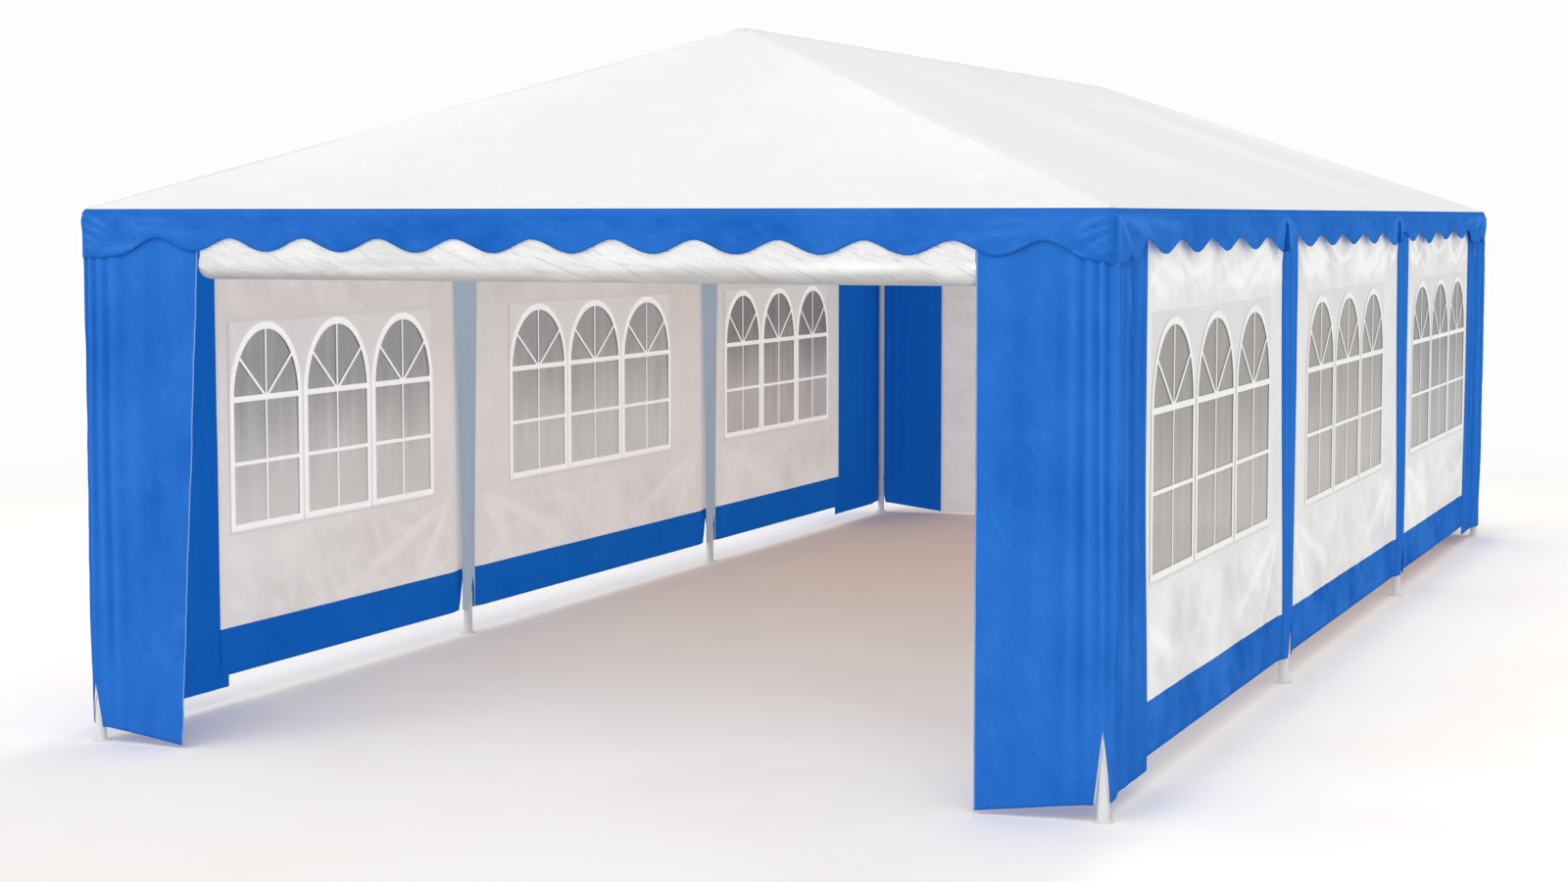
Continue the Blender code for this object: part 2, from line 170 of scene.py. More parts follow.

# Under the roof the floor is painted darker and warmer as shade, the more so the deeper it lies in the tent.
floor_axes = split_axes(tree, place)
from_middle = maths(tree, "ABSOLUTE", floor_axes["X"])
before_back = ramp(tree, floor_axes["Y"], *SHADE_BACK)
under_roof = maths(tree, "MULTIPLY", ramp(tree, floor_axes["Y"], *SHADE_DEEPENS), before_back)
floor_shade_mask = maths(tree, "MULTIPLY", under_roof, ramp(tree, from_middle, *SHADE_SIDES))
tree.links.new(mixed(tree, floor_shade_mask, clear_floor, FLOOR_PAINTED_SHADE), shader.inputs["Base Color"])

# Close beside and behind the tent, the floor glows a little: painted light that lifts it out of its shade.
behind = ramp(tree, floor_axes["Y"], *LIFT_BACK)
outside = maths(tree, "MAXIMUM", ramp(tree, from_middle, *LIFT_SIDES), behind)
beside_tent = maths(tree, "MULTIPLY", outside, ramp(tree, far_off, *LIFT_NEAR))
tree.links.new(mixed(tree, beside_tent, (0, 0, 0), FLOOR_PAINTED_LIGHT), shader.inputs["Emission Color"])
add_glow(floor_material, shader, 1.0)

floor_corners = [(x * FLOOR_REACH, y * FLOOR_REACH, 0) for x, y in ((-1, -1), (1, -1), (1, 1), (-1, 1))]
floor_mesh = bpy.data.meshes.new("floor")
floor_mesh.from_pydata(floor_corners, [], [(0, 1, 2, 3)])
floor_mesh.materials.append(floor_material)
add_object("floor", floor_mesh)

sky = bpy.data.worlds.new("sky")
sky.use_nodes = True
tree = sky.node_tree
seen = tree.nodes["Background"]
seen.inputs["Color"].default_value = (*HORIZON, 1)
lighting = add_node(tree, "ShaderNodeBackground", in_Strength=0.82)
lighting.inputs["Color"].default_value = (1.0, 0.995, 0.985, 1)
sky_mix = add_node(tree, "ShaderNodeMixShader")
tree.links.new(add_node(tree, "ShaderNodeLightPath").outputs["Is Camera Ray"], sky_mix.inputs[0])
tree.links.new(lighting.outputs[0], sky_mix.inputs[1])
tree.links.new(seen.outputs[0], sky_mix.inputs[2])
tree.links.new(sky_mix.outputs[0], tree.nodes["World Output"].inputs["Surface"])
bpy.context.scene.world = sky
bpy.context.scene.view_settings.view_transform = "Standard"

KEY_HEIGHT = math.radians(45)
key_light = bpy.data.lights.new("key_light", "SUN")
key_light.energy = 0.85
key_light.angle = math.radians(60)
add_object("key_light", key_light).rotation_euler = (math.pi / 2 - KEY_HEIGHT, 0, 0)


# Steel frame
# Legs, eave tubes, rafters and ridge are 42 mm steel tube with white powder coat. The welded
# fittings have sleeves that the tubes push into, each held by one hexagon screw.
def shader_group(name, inputs, outputs):
    """An empty node group with its sockets, each given as (kind, name, value) or (kind, name)."""
    group = bpy.data.node_groups.new(name, "ShaderNodeTree")
    for kind, socket, value in inputs:
        made = group.interface.new_socket(socket, in_out="INPUT", socket_type=f"NodeSocket{kind}")
        if value is not None:
            made.default_value = value
    for kind, socket in outputs:
        group.interface.new_socket(socket, in_out="OUTPUT", socket_type=f"NodeSocket{kind}")
    return group, group.nodes.new("NodeGroupInput"), group.nodes.new("NodeGroupOutput")


def noise(tree, vector, size, detail=2.0, stretch=(1, 1, 1), twist=0.0):
    """Noise whose lumps are about this many metres across, stretched along the axes."""
    mapping = add_node(tree, "ShaderNodeMapping")
    mapping.inputs["Scale"].default_value = [1 / (size * s) for s in stretch]
    tree.links.new(vector, mapping.inputs["Vector"])
    node = add_node(tree, "ShaderNodeTexNoise", in_Scale=1.0, in_Detail=detail, in_Distortion=twist)
    tree.links.new(mapping.outputs[0], node.inputs["Vector"])
    return node.outputs["Fac"]


def place_group(tree, group, **values):
    """A node group placed in a tree, with sockets or plain values on its named inputs."""
    node = add_node(tree, "ShaderNodeGroup", node_tree=group)
    for key, value in values.items():
        socket = node.inputs[key.replace("_", " ")]
        if isinstance(value, bpy.types.NodeSocket):
            tree.links.new(value, socket)
        else:
            socket.default_value = value
    return node


def add_bump(tree, shader, height, distance, strength=1.0):
    """Roughens a shader's surface by this height, over any bump it has."""
    bump = add_node(tree, "ShaderNodeBump", in_Distance=distance, in_Strength=strength)
    tree.links.new(height, bump.inputs["Height"])
    normal = shader.inputs["Normal"]
    if normal.links:
        tree.links.new(normal.links[0].from_socket, bump.inputs["Normal"])
    tree.links.new(bump.outputs[0], normal)


# Dust that settles low down: a mask that is strongest at the ground.
low_dust, dust_in, dust_out = shader_group(
    "low_dust",
    [("Vector", "Position", None), ("Float", "Reach", 0.12), ("Float", "Amount", 0.5)],
    [("Float", "Mask")],
)
dust_axes = split_axes(low_dust, dust_in.outputs["Position"])
share = maths(low_dust, "DIVIDE", dust_axes["Z"], dust_in.outputs["Reach"])
fade = maths(low_dust, "SUBTRACT", 1.0, share, clamp=True)
speckle = noise(low_dust, dust_in.outputs["Position"], 0.02, detail=4.0)
dust = maths(low_dust, "MULTIPLY", fade, speckle)
low_dust.links.new(maths(low_dust, "MULTIPLY", dust, dust_in.outputs["Amount"]), dust_out.inputs["Mask"])

STEEL_WHITE = (0.74, 0.75, 0.755)
STEEL_DUSTED = (0.60, 0.58, 0.55)
steel_white, tree, shader, place = start_material("powder_coat_white", 0.34, Coat_Weight=0.15)
dust = place_group(tree, low_dust, Position=place, Reach=0.10, Amount=0.35)
tree.links.new(mixed(tree, dust.outputs["Mask"], STEEL_WHITE, STEEL_DUSTED), shader.inputs["Base Color"])
roughness = maths(tree, "MULTIPLY_ADD", noise(tree, place, 0.05), 0.12, 0.28)
tree.links.new(roughness, shader.inputs["Roughness"])
add_bump(tree, shader, noise(tree, place, 0.0016, detail=1.0), 0.0001, 0.6)

screw_zinc, tree, shader, place = start_material("screw_zinc", 0.38, Metallic=1.0)
zinc = mixed(tree, noise(tree, place, 0.004), (0.55, 0.56, 0.57), (0.74, 0.74, 0.72))
tree.links.new(zinc, shader.inputs["Base Color"])
add_bump(tree, shader, noise(tree, place, 0.0008), 0.00005)


def link_piece(name, mesh, materials):
    """An object of the tent, riding on its one body."""
    for material in materials:
        mesh.materials.append(material)
    piece = add_object(name, mesh)
    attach(piece, "root")
    return piece


def turned(bm, profile, start, direction, sides):
    """Adds a turned part: its (radius, distance) profile is spun about a line from start."""
    turn = Vector(direction).to_track_quat("Z", "Y").to_matrix()
    rings = []
    for radius, height in profile:
        ring = []
        for i in range(sides):
            a = 2 * math.pi * i / sides
            spot = Vector((radius * math.cos(a), radius * math.sin(a), height))
            ring.append(bm.verts.new(turn @ spot + Vector(start)))
        rings.append(ring)
    for low, high in zip(rings, rings[1:]):
        for i in range(sides):
            j = (i + 1) % sides
            bm.faces.new((low[i], low[j], high[j], high[i]))
    bm.faces.new(list(reversed(rings[0])))
    bm.faces.new(rings[-1])


def steel_piece(name, bm, replaced, sharp=35, materials=(steel_white, screw_zinc)):
    """Finishes a steel piece that stands for one CAD node."""
    mesh = bpy.data.meshes.new(name)
    bmesh.ops.recalc_face_normals(bm, faces=bm.faces)
    bm.to_mesh(mesh)
    bm.free()
    mesh.shade_smooth()
    mesh.set_sharp_from_angle(angle=math.radians(sharp))
    piece = link_piece(name, mesh, materials)
    if replaced:
        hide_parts(replaced)
    return piece


SIDES = {"left": -1, "right": 1}
ENDS = {"front": -1, "back": 1}
leg_low, leg_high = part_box("leg_right_1")
LEG_X = (leg_low.x + leg_high.x) / 2
LEG_Y = -(leg_low.y + leg_high.y) / 2
LEG_TOP = leg_high.z
POSTS = [-LEG_Y, -LEG_Y / 3, LEG_Y / 3, LEG_Y]
TUBE_R = 0.021
SLEEVE_R = 0.0235
SLEEVE_LENGTH = 0.11
PUSHED_IN = 0.004
FOOT_R = (leg_high.x - leg_low.x) / 2
SOCKET_TOP = 0.205
SWAGE_R = 0.019
SWAGE_TOP = 0.250
SOCKET_SCREW = 0.115
TUBE_SCREW = 0.300
EAVE_AXIS = LEG_TOP + SLEEVE_LENGTH + 0.0003
RIDGE_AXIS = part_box("ridge_tube")[1].z - TUBE_R
APEX_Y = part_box("ridge_tube")[1].y + SLEEVE_LENGTH


def add_screw(bm, spot, direction, size=0.0065):
    """Adds a hexagon screw head on a washer, standing off a tube."""
    for sides, profile in (
        (20, [(size * 1.3, 0), (size * 1.3, size * 0.25), (size * 1.15, size * 0.3)]),
        (6, [(size, size * 0.3), (size, size * 0.95), (size * 0.8, size * 1.1)]),
    ):
        first = len(bm.faces)
        turned(bm, profile, spot, direction, sides)
        bm.faces.ensure_lookup_table()
        for face in bm.faces[first:]:
            face.material_index = 1


def add_leg(name, x, y):
    """A leg: round foot plate with a weld, foot socket, the swaged end in it, and the tube."""
    plate = [
        (FOOT_R - 0.0012, 0.0),
        (FOOT_R - 0.0003, 0.0004),
        (FOOT_R, 0.0014),
        (FOOT_R, 0.0030),
        (FOOT_R - 0.0008, 0.0038),
        (FOOT_R - 0.0030, 0.0042),
        (TUBE_R + 0.0060, 0.0052),
        (TUBE_R + 0.0028, 0.0068),
        (TUBE_R + 0.0010, 0.0092),
        (TUBE_R, 0.0125),
    ]
    socket = [
        (TUBE_R, SOCKET_TOP - 0.004),
        (TUBE_R + 0.0006, SOCKET_TOP - 0.003),
        (TUBE_R + 0.0006, SOCKET_TOP - 0.0008),
        (TUBE_R - 0.0003, SOCKET_TOP),
        (SWAGE_R + 0.0004, SOCKET_TOP),
        (SWAGE_R, SOCKET_TOP + 0.001),
    ]
    tube = [
        (SWAGE_R, SWAGE_TOP),
        (SWAGE_R + 0.0006, SWAGE_TOP + 0.0010),
        (TUBE_R - 0.0004, SWAGE_TOP + 0.0040),
        (TUBE_R, SWAGE_TOP + 0.0060),
        (TUBE_R, LEG_TOP),
    ]
    bm = bmesh.new()
    turned(bm, plate + socket + tube, (x, y, 0), (0, 0, 1), 40)
    for height in (SOCKET_SCREW, TUBE_SCREW):
        add_screw(bm, (x, y + math.copysign(TUBE_R - 0.0008, -y), height), (0, -y, 0), 0.005)
    return steel_piece(name, bm, name.replace("steel_", ""))


def add_joint(name, centre, targets):
    """A welded fitting: sleeves from one centre, each with a rolled rim and a screw below."""
    half_hub = [(0.0243, 0.006), (0.016, 0.0185), (0.004, 0.0245)]
    hub = [(radius, -height) for radius, height in reversed(half_hub)] + half_hub
    sleeve = [
        (SLEEVE_R, 0.0),
        (SLEEVE_R, SLEEVE_LENGTH - 0.007),
        (SLEEVE_R + 0.0008, SLEEVE_LENGTH - 0.006),
        (SLEEVE_R + 0.0008, SLEEVE_LENGTH - 0.0012),
        (SLEEVE_R - 0.0004, SLEEVE_LENGTH),
        (TUBE_R - 0.001, SLEEVE_LENGTH),
    ]
    bm = bmesh.new()
    centre = Vector(centre)
    turned(bm, hub, centre, (0, 0, 1), 28)
    for target in targets:
        way = (Vector(target) - centre).normalized()
        turned(bm, sleeve, centre, way, 32)
        inward = Vector((-centre.x, 0, 0)) if abs(way.z) > 0.9 else Vector((0, 0, -1))
        below = (inward - way * inward.dot(way)).normalized()
        add_screw(bm, centre + way * SLEEVE_LENGTH * 0.72 + below * (SLEEVE_R - 0.0008), below)
    return steel_piece(name, bm, name.replace("steel_", ""))


def add_tube(name, start, end):
    """A tube between the sleeves of two fittings, pushed 4 mm into each of them."""
    bm = bmesh.new()
    start, end = Vector(start), Vector(end)
    way = (end - start).normalized()
    length = (end - start).length
    first = SLEEVE_LENGTH - PUSHED_IN
    steps = [first + (length - 2 * first) * i / 6 for i in range(7)]
    turned(bm, [(TUBE_R, s) for s in steps], start, way, 32)
    return steel_piece(name, bm, name.replace("steel_", ""))


corners = {(e, s): (SIDES[s] * LEG_X, ENDS[e] * LEG_Y, EAVE_AXIS) for e in ENDS for s in SIDES}
apexes = {e: (0, ENDS[e] * APEX_Y, RIDGE_AXIS) for e in ENDS}
for side, sx in SIDES.items():
    for i, y in enumerate(POSTS):
        add_leg(f"steel_leg_{side}_{i + 1}", sx * LEG_X, y)
        centre = (sx * LEG_X, y, EAVE_AXIS)
        targets = [(sx * LEG_X, y, 0)]
        targets += [(sx * LEG_X, POSTS[j], EAVE_AXIS) for j in (i - 1, i + 1) if 0 <= j < len(POSTS)]
        if i in (0, len(POSTS) - 1):
            end = "front" if i == 0 else "back"
            targets += [(-sx * LEG_X, y, EAVE_AXIS), apexes[end]]
            add_joint(f"steel_corner_joint_{end}_{side}", centre, targets)
        else:
            targets.append((0, y, RIDGE_AXIS))
            add_joint(f"steel_side_joint_{side}_{i + 1}", centre, targets)
    for bay in range(len(POSTS) - 1):
        ends = [(sx * LEG_X, y, EAVE_AXIS) for y in POSTS[bay : bay + 2]]
        add_tube(f"steel_eave_tube_{side}_{bay + 1}", *ends)
    for end in ENDS:
        add_tube(f"steel_hip_rafter_{end}_{side}", corners[end, side], apexes[end])
for end in ENDS:
    add_tube(f"steel_eave_tube_{end}", corners[end, "left"], corners[end, "right"])
    neighbours = [apexes["back" if end == "front" else "front"]]
    neighbours += [corners[end, side] for side in SIDES]
    add_joint(f"steel_apex_joint_{end}", apexes[end], neighbours)
add_tube("steel_ridge_tube", apexes["front"], apexes["back"])

# The side rafters end in a flattened saddle that clips round the ridge tube.
SADDLE_IN = TUBE_R + 0.0002
SADDLE_OUT = TUBE_R + 0.0022
for i, y in ((2, POSTS[1]), (3, POSTS[2])):
    bm = bmesh.new()
    saddle = [(SADDLE_IN, 0), (SADDLE_OUT, 0.001), (SADDLE_OUT, 0.049), (SADDLE_IN, 0.05)]
    turned(bm, saddle, (0, y - 0.025, RIDGE_AXIS), (0, 1, 0), 32)
    steel_piece(f"steel_ridge_saddle_{i}", bm, None)
    for side, sx in SIDES.items():
        bm = bmesh.new()
        foot = Vector((sx * LEG_X, y, EAVE_AXIS))
        top = Vector((0, y, RIDGE_AXIS))
        way = (top - foot).normalized()
        length = (top - foot).length - TUBE_R
        rafter = [
            (TUBE_R, SLEEVE_LENGTH - PUSHED_IN),
            (TUBE_R, length * 0.5),
            (TUBE_R, length - 0.03),
            (TUBE_R * 0.97, length - 0.012),
            (TUBE_R * 0.8, length),
        ]
        turned(bm, rafter, foot, way, 32)
        below = Vector((0, 0, -1))
        below = (below - way * below.dot(way)).normalized()
        add_screw(bm, foot + way * (length - 0.05) + below * (TUBE_R - 0.0008), below)
        steel_piece(f"steel_side_rafter_{side}_{i}", bm, f"side_rafter_{side}_{i}")


# Roof cover
# One sewn cover of woven polyethylene, white above and blue from the eave down, with a scalloped
# valance. It lies over the tubes, sags a little between them and is pleated by the mid posts.
woven, woven_in, woven_out = shader_group(
    "woven_tape", [("Vector", "Position", None), ("Float", "Tape Width", 0.0025)], [("Float", "Height")]
)
weave_axes = split_axes(woven, woven_in.outputs["Position"])
pitch = maths(woven, "DIVIDE", math.pi, woven_in.outputs["Tape Width"])
waves = [maths(woven, "SINE", maths(woven, "MULTIPLY", axis, pitch)) for axis in weave_axes]
tapes = maths(woven, "ADD", maths(woven, "ADD", waves[0], waves[1]), waves[2])
woven.links.new(maths(woven, "MULTIPLY_ADD", tapes, 0.16, 0.5), woven_out.inputs["Height"])

# Packing creases: a height, and a shade that turns pale along thin lines on their ridges, partly stress
# whitening and partly painted highlight.
creased, creased_in, creased_out = shader_group(
    "creased_sheet",
    [("Vector", "Position", None), ("Float", "Size", 0.2), ("Float", "Slant", 0.6)],
    [("Float", "Height"), ("Float", "Shade")],
)
creased_axes = split_axes(creased, creased_in.outputs["Position"])
level = maths(creased, "ADD", creased_axes["X"], creased_axes["Y"])
across = maths(creased, "MULTIPLY_ADD", creased_axes["Z"], creased_in.outputs["Slant"], level)
along = maths(creased, "MULTIPLY_ADD", level, -0.35, creased_axes["Z"])
spread = maths(creased, "SUBTRACT", creased_axes["X"], creased_axes["Y"])
leaned = add_node(creased, "ShaderNodeCombineXYZ")
for socket, value in zip(leaned.inputs, (across, along, spread)):
    creased.links.new(maths(creased, "DIVIDE", value, creased_in.outputs["Size"]), socket)
broad = noise(creased, leaned.outputs[0], 1.0, detail=3.0, stretch=(0.45, 1.2, 0.8), twist=0.4)
ridge = maths(creased, "ABSOLUTE", maths(creased, "SUBTRACT", broad, 0.5))
sharp = maths(creased, "SUBTRACT", 1.0, maths(creased, "MULTIPLY", ridge, 5.0, clamp=True))
thin = maths(creased, "SUBTRACT", 1.0, maths(creased, "MULTIPLY", ridge, 16.0, clamp=True))
soft = noise(creased, leaned.outputs[0], 0.55, detail=2.0)
creased.links.new(maths(creased, "MULTIPLY_ADD", sharp, 0.35, soft), creased_out.inputs["Height"])
patchy = maths(creased, "MULTIPLY", maths(creased, "SUBTRACT", soft, 0.40), 3.5, clamp=True)
stress_whitening_and_highlight = maths(creased, "MULTIPLY", thin, patchy)
mottling = noise(creased, leaned.outputs[0], 2.0, detail=4.0)
mottling = maths(creased, "MULTIPLY_ADD", mottling, 1.6, -0.5)
shade = maths(creased, "MULTIPLY_ADD", stress_whitening_and_highlight, 0.6, mottling, clamp=True)
creased.links.new(shade, creased_out.inputs["Shade"])

# Upright streaks in cloth that hangs free. Their height makes a bump, and is also painted into the colour as
# highlight and shade of upright folds.
streaked, streaked_in, streaked_out = shader_group(
    "hanging_streaks", [("Vector", "Position", None), ("Float", "Width", 0.03)], [("Float", "Height")]
)
hung_axes = split_axes(streaked, streaked_in.outputs["Position"])
drawn = add_node(streaked, "ShaderNodeCombineXYZ")
for i, (axis, length) in enumerate((("X", 1.0), ("Y", 1.0), ("Z", 26.0))):
    share = maths(streaked, "DIVIDE", hung_axes[axis], length)
    streaked.links.new(maths(streaked, "DIVIDE", share, streaked_in.outputs["Width"]), drawn.inputs[i])
streak = noise(streaked, drawn.outputs[0], 1.0, detail=3.0)
streak = maths(streaked, "MULTIPLY_ADD", streak, 2.2, -0.6, clamp=True)
streaked.links.new(streak, streaked_out.inputs["Height"])


def cloth_material(name, dark, light, roughness, crease=0.2, depth=0.004, glow=None, slant=0.6, upright=0.0,
                   specular=0.3, mottled=0.35):
    """Woven polyethylene: a tape weave, creases that are pale along their ridges, partly stress whitening
    and partly painted highlight, upright streaks painted as highlight and shade, and light that comes
    through it from behind. The mesh's fold value paints shade and highlight on its folds: half is flat."""
    material, tree, shader, place = start_material(name, roughness, Specular_IOR_Level=specular)
    folds = place_group(tree, creased, Position=place, Size=crease, Slant=slant)
    weave = place_group(tree, woven, Position=place, Tape_Width=0.0025)
    shade = folds.outputs["Shade"]
    if upright:
        streaks = place_group(tree, streaked, Position=place, Width=0.03)
        share = maths(tree, "MULTIPLY", streaks.outputs["Height"], upright)
        shade = maths(tree, "MULTIPLY_ADD", shade, 1 - upright, share)
        add_bump(tree, shader, streaks.outputs["Height"], 0.003 * upright)
    fold_shading = add_node(tree, "ShaderNodeAttribute", attribute_name="fold").outputs["Fac"]
    fold_shade_fac = maths(tree, "MULTIPLY_ADD", maths(tree, "SUBTRACT", shade, 0.35), mottled, fold_shading, clamp=True)
    tree.links.new(mixed(tree, fold_shade_fac, dark, light), shader.inputs["Base Color"])
    add_bump(tree, shader, folds.outputs["Height"], depth)
    add_bump(tree, shader, weave.outputs["Height"], 0.00012, 0.7)
    if glow:
        colour, strength = glow
        add_glow(material, shader, strength, colour)
    return material


BLUE_DARK = (0.002, 0.088, 0.42)
BLUE_LIGHT = (0.044, 0.220, 0.73)
roof_white = cloth_material(
    "roof_white", (0.76, 0.77, 0.77), (0.94, 0.945, 0.94), 0.55, 0.4, 0.006, mottled=0.3
)
roof_inside = cloth_material(
    "roof_white_inside", (0.80, 0.78, 0.76), (0.86, 0.84, 0.82), 0.6, 0.5, 0.003, ((1, 0.97, 0.95), 0.30)
)
blue_outside = cloth_material(
    "blue_outside", BLUE_DARK, BLUE_LIGHT, 0.6, 0.20, 0.004, slant=1.6, specular=0.0, mottled=0.28
)
blue_inside = cloth_material(
    "blue_inside", (0.003, 0.095, 0.42), (0.012, 0.140, 0.54), 0.6, 0.2, 0.003, ((0.004, 0.10, 0.44), 0.30),
    upright=0.4, specular=0.0
)
pleat_shadow = cloth_material("pleat_shadow", (0.002, 0.05, 0.24), (0.006, 0.09, 0.40), 0.6, specular=0.0)


def soft_noise(u, v, seed):
    """Smooth random heights from -1 to 1 over a lattice of whole numbers."""
    lattice = np.random.default_rng(seed).uniform(-1, 1, (64, 64))
    i, j = np.floor(u).astype(int), np.floor(v).astype(int)
    a, b = u - i, v - j
    a, b = a * a * (3 - 2 * a), b * b * (3 - 2 * b)
    near = lattice[i % 64, j % 64] * (1 - a) + lattice[(i + 1) % 64, j % 64] * a
    far = lattice[i % 64, (j + 1) % 64] * (1 - a) + lattice[(i + 1) % 64, (j + 1) % 64] * a
    return near * (1 - b) + far * b


def crumple(u, v, seed, size):
    """Cloth that never lies quite flat: broad swells with finer creases on them."""
    swell = soft_noise(u / size, v / size, seed)
    crease = 1 - 2 * np.abs(soft_noise(u / size * 2.3 + 5, v / size * 2.3, seed + 1))
    fine = soft_noise(u / size * 4.7, v / size * 4.7 + 9, seed + 2)
    return 0.55 * swell + 0.3 * crease + 0.15 * fine


def smooth(low, high, value):
    """Rises smoothly from 0 at low to 1 at high, or falls where low is the greater."""
    share = np.clip((value - low) / (high - low), 0, 1)
    return share * share * (3 - 2 * share)


def fold_line(u, v, start, end, width):
    """A ridge 1 high along the line from start to end, that fades at both ends."""
    run_u, run_v = end[0] - start[0], end[1] - start[1]
    length = math.hypot(run_u, run_v)
    share = ((u - start[0]) * run_u + (v - start[1]) * run_v) / length ** 2
    aside = ((u - start[0]) * run_v - (v - start[1]) * run_u) / length
    spread = width * (1 + 0.5 * np.clip(share, 0, 1))
    return np.exp(-((aside / spread) ** 2)) * smooth(-0.10, 0.10, share) * smooth(1.15, 0.55, share)


def grid_mesh(name, points, inside, keep=None, zones=None, folds=None):
    """A sheet from rows and columns of points, facing away from the point called inside.

    Folds gives each point's painted fold shade: half is flat, 0 painted shade in a valley, 1 a painted
    highlight.
    """
    rows, columns = points.shape[:2]
    index = np.arange(rows * columns).reshape(rows, columns)
    quads = np.stack([index[:-1, :-1], index[:-1, 1:], index[1:, 1:], index[1:, :-1]], axis=-1)
    quads = quads.reshape(-1, 4)
    kept = np.ones(len(quads), bool) if keep is None else keep.ravel()
    mesh = bpy.data.meshes.new(name)
    mesh.from_pydata(points.reshape(-1, 3).tolist(), [], quads[kept].tolist())
    if zones is not None:
        mesh.polygons.foreach_set("material_index", zones.ravel()[kept].astype(np.int32))
    fold_shade = np.full(rows * columns, 0.5) if folds is None else np.clip(folds, 0, 1).ravel()
    mesh.attributes.new("fold", "FLOAT", "POINT").data.foreach_set("value", fold_shade.astype(np.float32))
    bm = bmesh.new()
    bm.from_mesh(mesh)
    bmesh.ops.remove_doubles(bm, verts=bm.verts, dist=1e-5)
    bmesh.ops.delete(bm, geom=[v for v in bm.verts if not v.link_faces], context="VERTS")
    bmesh.ops.recalc_face_normals(bm, faces=bm.faces)
    facing = sum(f.normal.dot(f.calc_center_median() - Vector(inside)) * f.calc_area() for f in bm.faces)
    if facing < 0:
        bmesh.ops.reverse_faces(bm, faces=bm.faces)
    bm.to_mesh(mesh)
    bm.free()
    mesh.shade_smooth()
    return mesh


def cloth_piece(name, mesh, outsides, insides, thickness=0.0012):
    """Gives a sheet its thickness inwards, with its inside finishes on the back."""
    piece = link_piece(name, mesh, [*outsides, *insides])
    solid = piece.modifiers.new("cloth_thickness", "SOLIDIFY")
    solid.thickness = thickness
    solid.offset = -1
    solid.material_offset = len(outsides)
    solid.material_offset_rim = 0
    return piece


cover_low, cover_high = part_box("roof_cover_right")
EAVE_X = cover_high.x
EAVE_Y = cover_high.y
RIDGE_Z = cover_high.z
VALANCE_CORNER = 0.180
EAVE_Z = cover_low.z + VALANCE_CORNER
HIP_INSET = EAVE_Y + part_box("roof_cover_front")[1].y
SIDE_PITCH = math.atan((RIDGE_Z - EAVE_Z) / EAVE_X)
END_PITCH = math.atan((RIDGE_Z - EAVE_Z) / HIP_INSET)
EAVE_ROUND = 0.024
CORNER_ROUND = 0.026
VALANCE_HUMP = 0.104
VALANCE_TONGUE = 0.155
VALANCE_AT_PLEAT = 0.172
ROOF_ROWS = 24
EAVE_ROWS = 5
VALANCE_ROWS = 14
CORNER_STEPS = 6

# Where the valance's edge is notched between two scallops, from the middle of each side
END_NOTCHES = {
    "front": [0.052 + 0.3115 * (i - 5.5) for i in range(12)],
    "back": [0.309 * (i - 5.5) for i in range(12)],
}
first_bay = [-4.063, -3.581, -3.099, -2.608, -2.082]
middle_bay = [-1.483, -0.934, -0.409, 0.143, 0.706]
last_bay = [1.359, 1.885, 2.507, 3.144, 3.733]
SIDE_NOTCHES = first_bay + middle_bay + last_bay
PLEATS = (-1.752, 1.14)
TUCK_FROM_CORNER = 0.195
TUCK_HALF = 0.055
TUCK_RISE = 0.030
PLEAT_SPACING = (0.55, 0.60)
PLEATS_WITHIN = 2.2
CORNER_RUN = 0.16


def valance_depth(s, notches, half):
    """How far the scalloped edge hangs below the eave at each place s along one side."""
    marks = np.array([-half, *notches, half])
    after = np.clip(np.searchsorted(marks, s, side="right"), 1, len(marks) - 1)
    start, end = marks[after - 1], marks[after]
    wave = 0.5 - 0.5 * np.cos(2 * np.pi * (s - start) / (end - start))
    wide = smooth(*PLEAT_SPACING, end - start) * (np.abs(start) < PLEATS_WITHIN)
    tongue = VALANCE_TONGUE + (VALANCE_AT_PLEAT - VALANCE_TONGUE) * wide
    depth = VALANCE_HUMP + (tongue - VALANCE_HUMP) * wave ** 0.85
    first = np.minimum(np.abs(s - marks[1]), np.abs(s - marks[-2]))
    outer = (s < marks[1]) | (s > marks[-2])
    rise = 0.5 - 0.5 * np.cos(np.pi * np.clip(first / CORNER_RUN, 0, 1))
    slow = np.clip((first - CORNER_RUN / 2) / CORNER_RUN, 0, 1)
    corner = VALANCE_HUMP + (VALANCE_TONGUE - VALANCE_HUMP) * rise + (VALANCE_CORNER - VALANCE_TONGUE) * slow
    return np.where(outer, corner, depth)


# The cover's columns are closer together near these: (how near, step)
NEAR_CORNER = (0.30, 0.009)
NEAR_PLEAT = (0.14, 0.011)
LEAST_STEP = 0.004


def column_places(half, pleats, wide_step):
    """Places of the cover's columns along one side: closer together by the corners and pleats."""
    places = [-half]
    while places[-1] < half:
        s = places[-1]
        if half - abs(s) < NEAR_CORNER[0]:
            s += NEAR_CORNER[1]
        elif any(abs(s - pleat) < NEAR_PLEAT[0] for pleat in pleats):
            s += NEAR_PLEAT[1]
        else:
            s += wide_step
        places.append(half if half - s < LEAST_STEP else s)
    return places


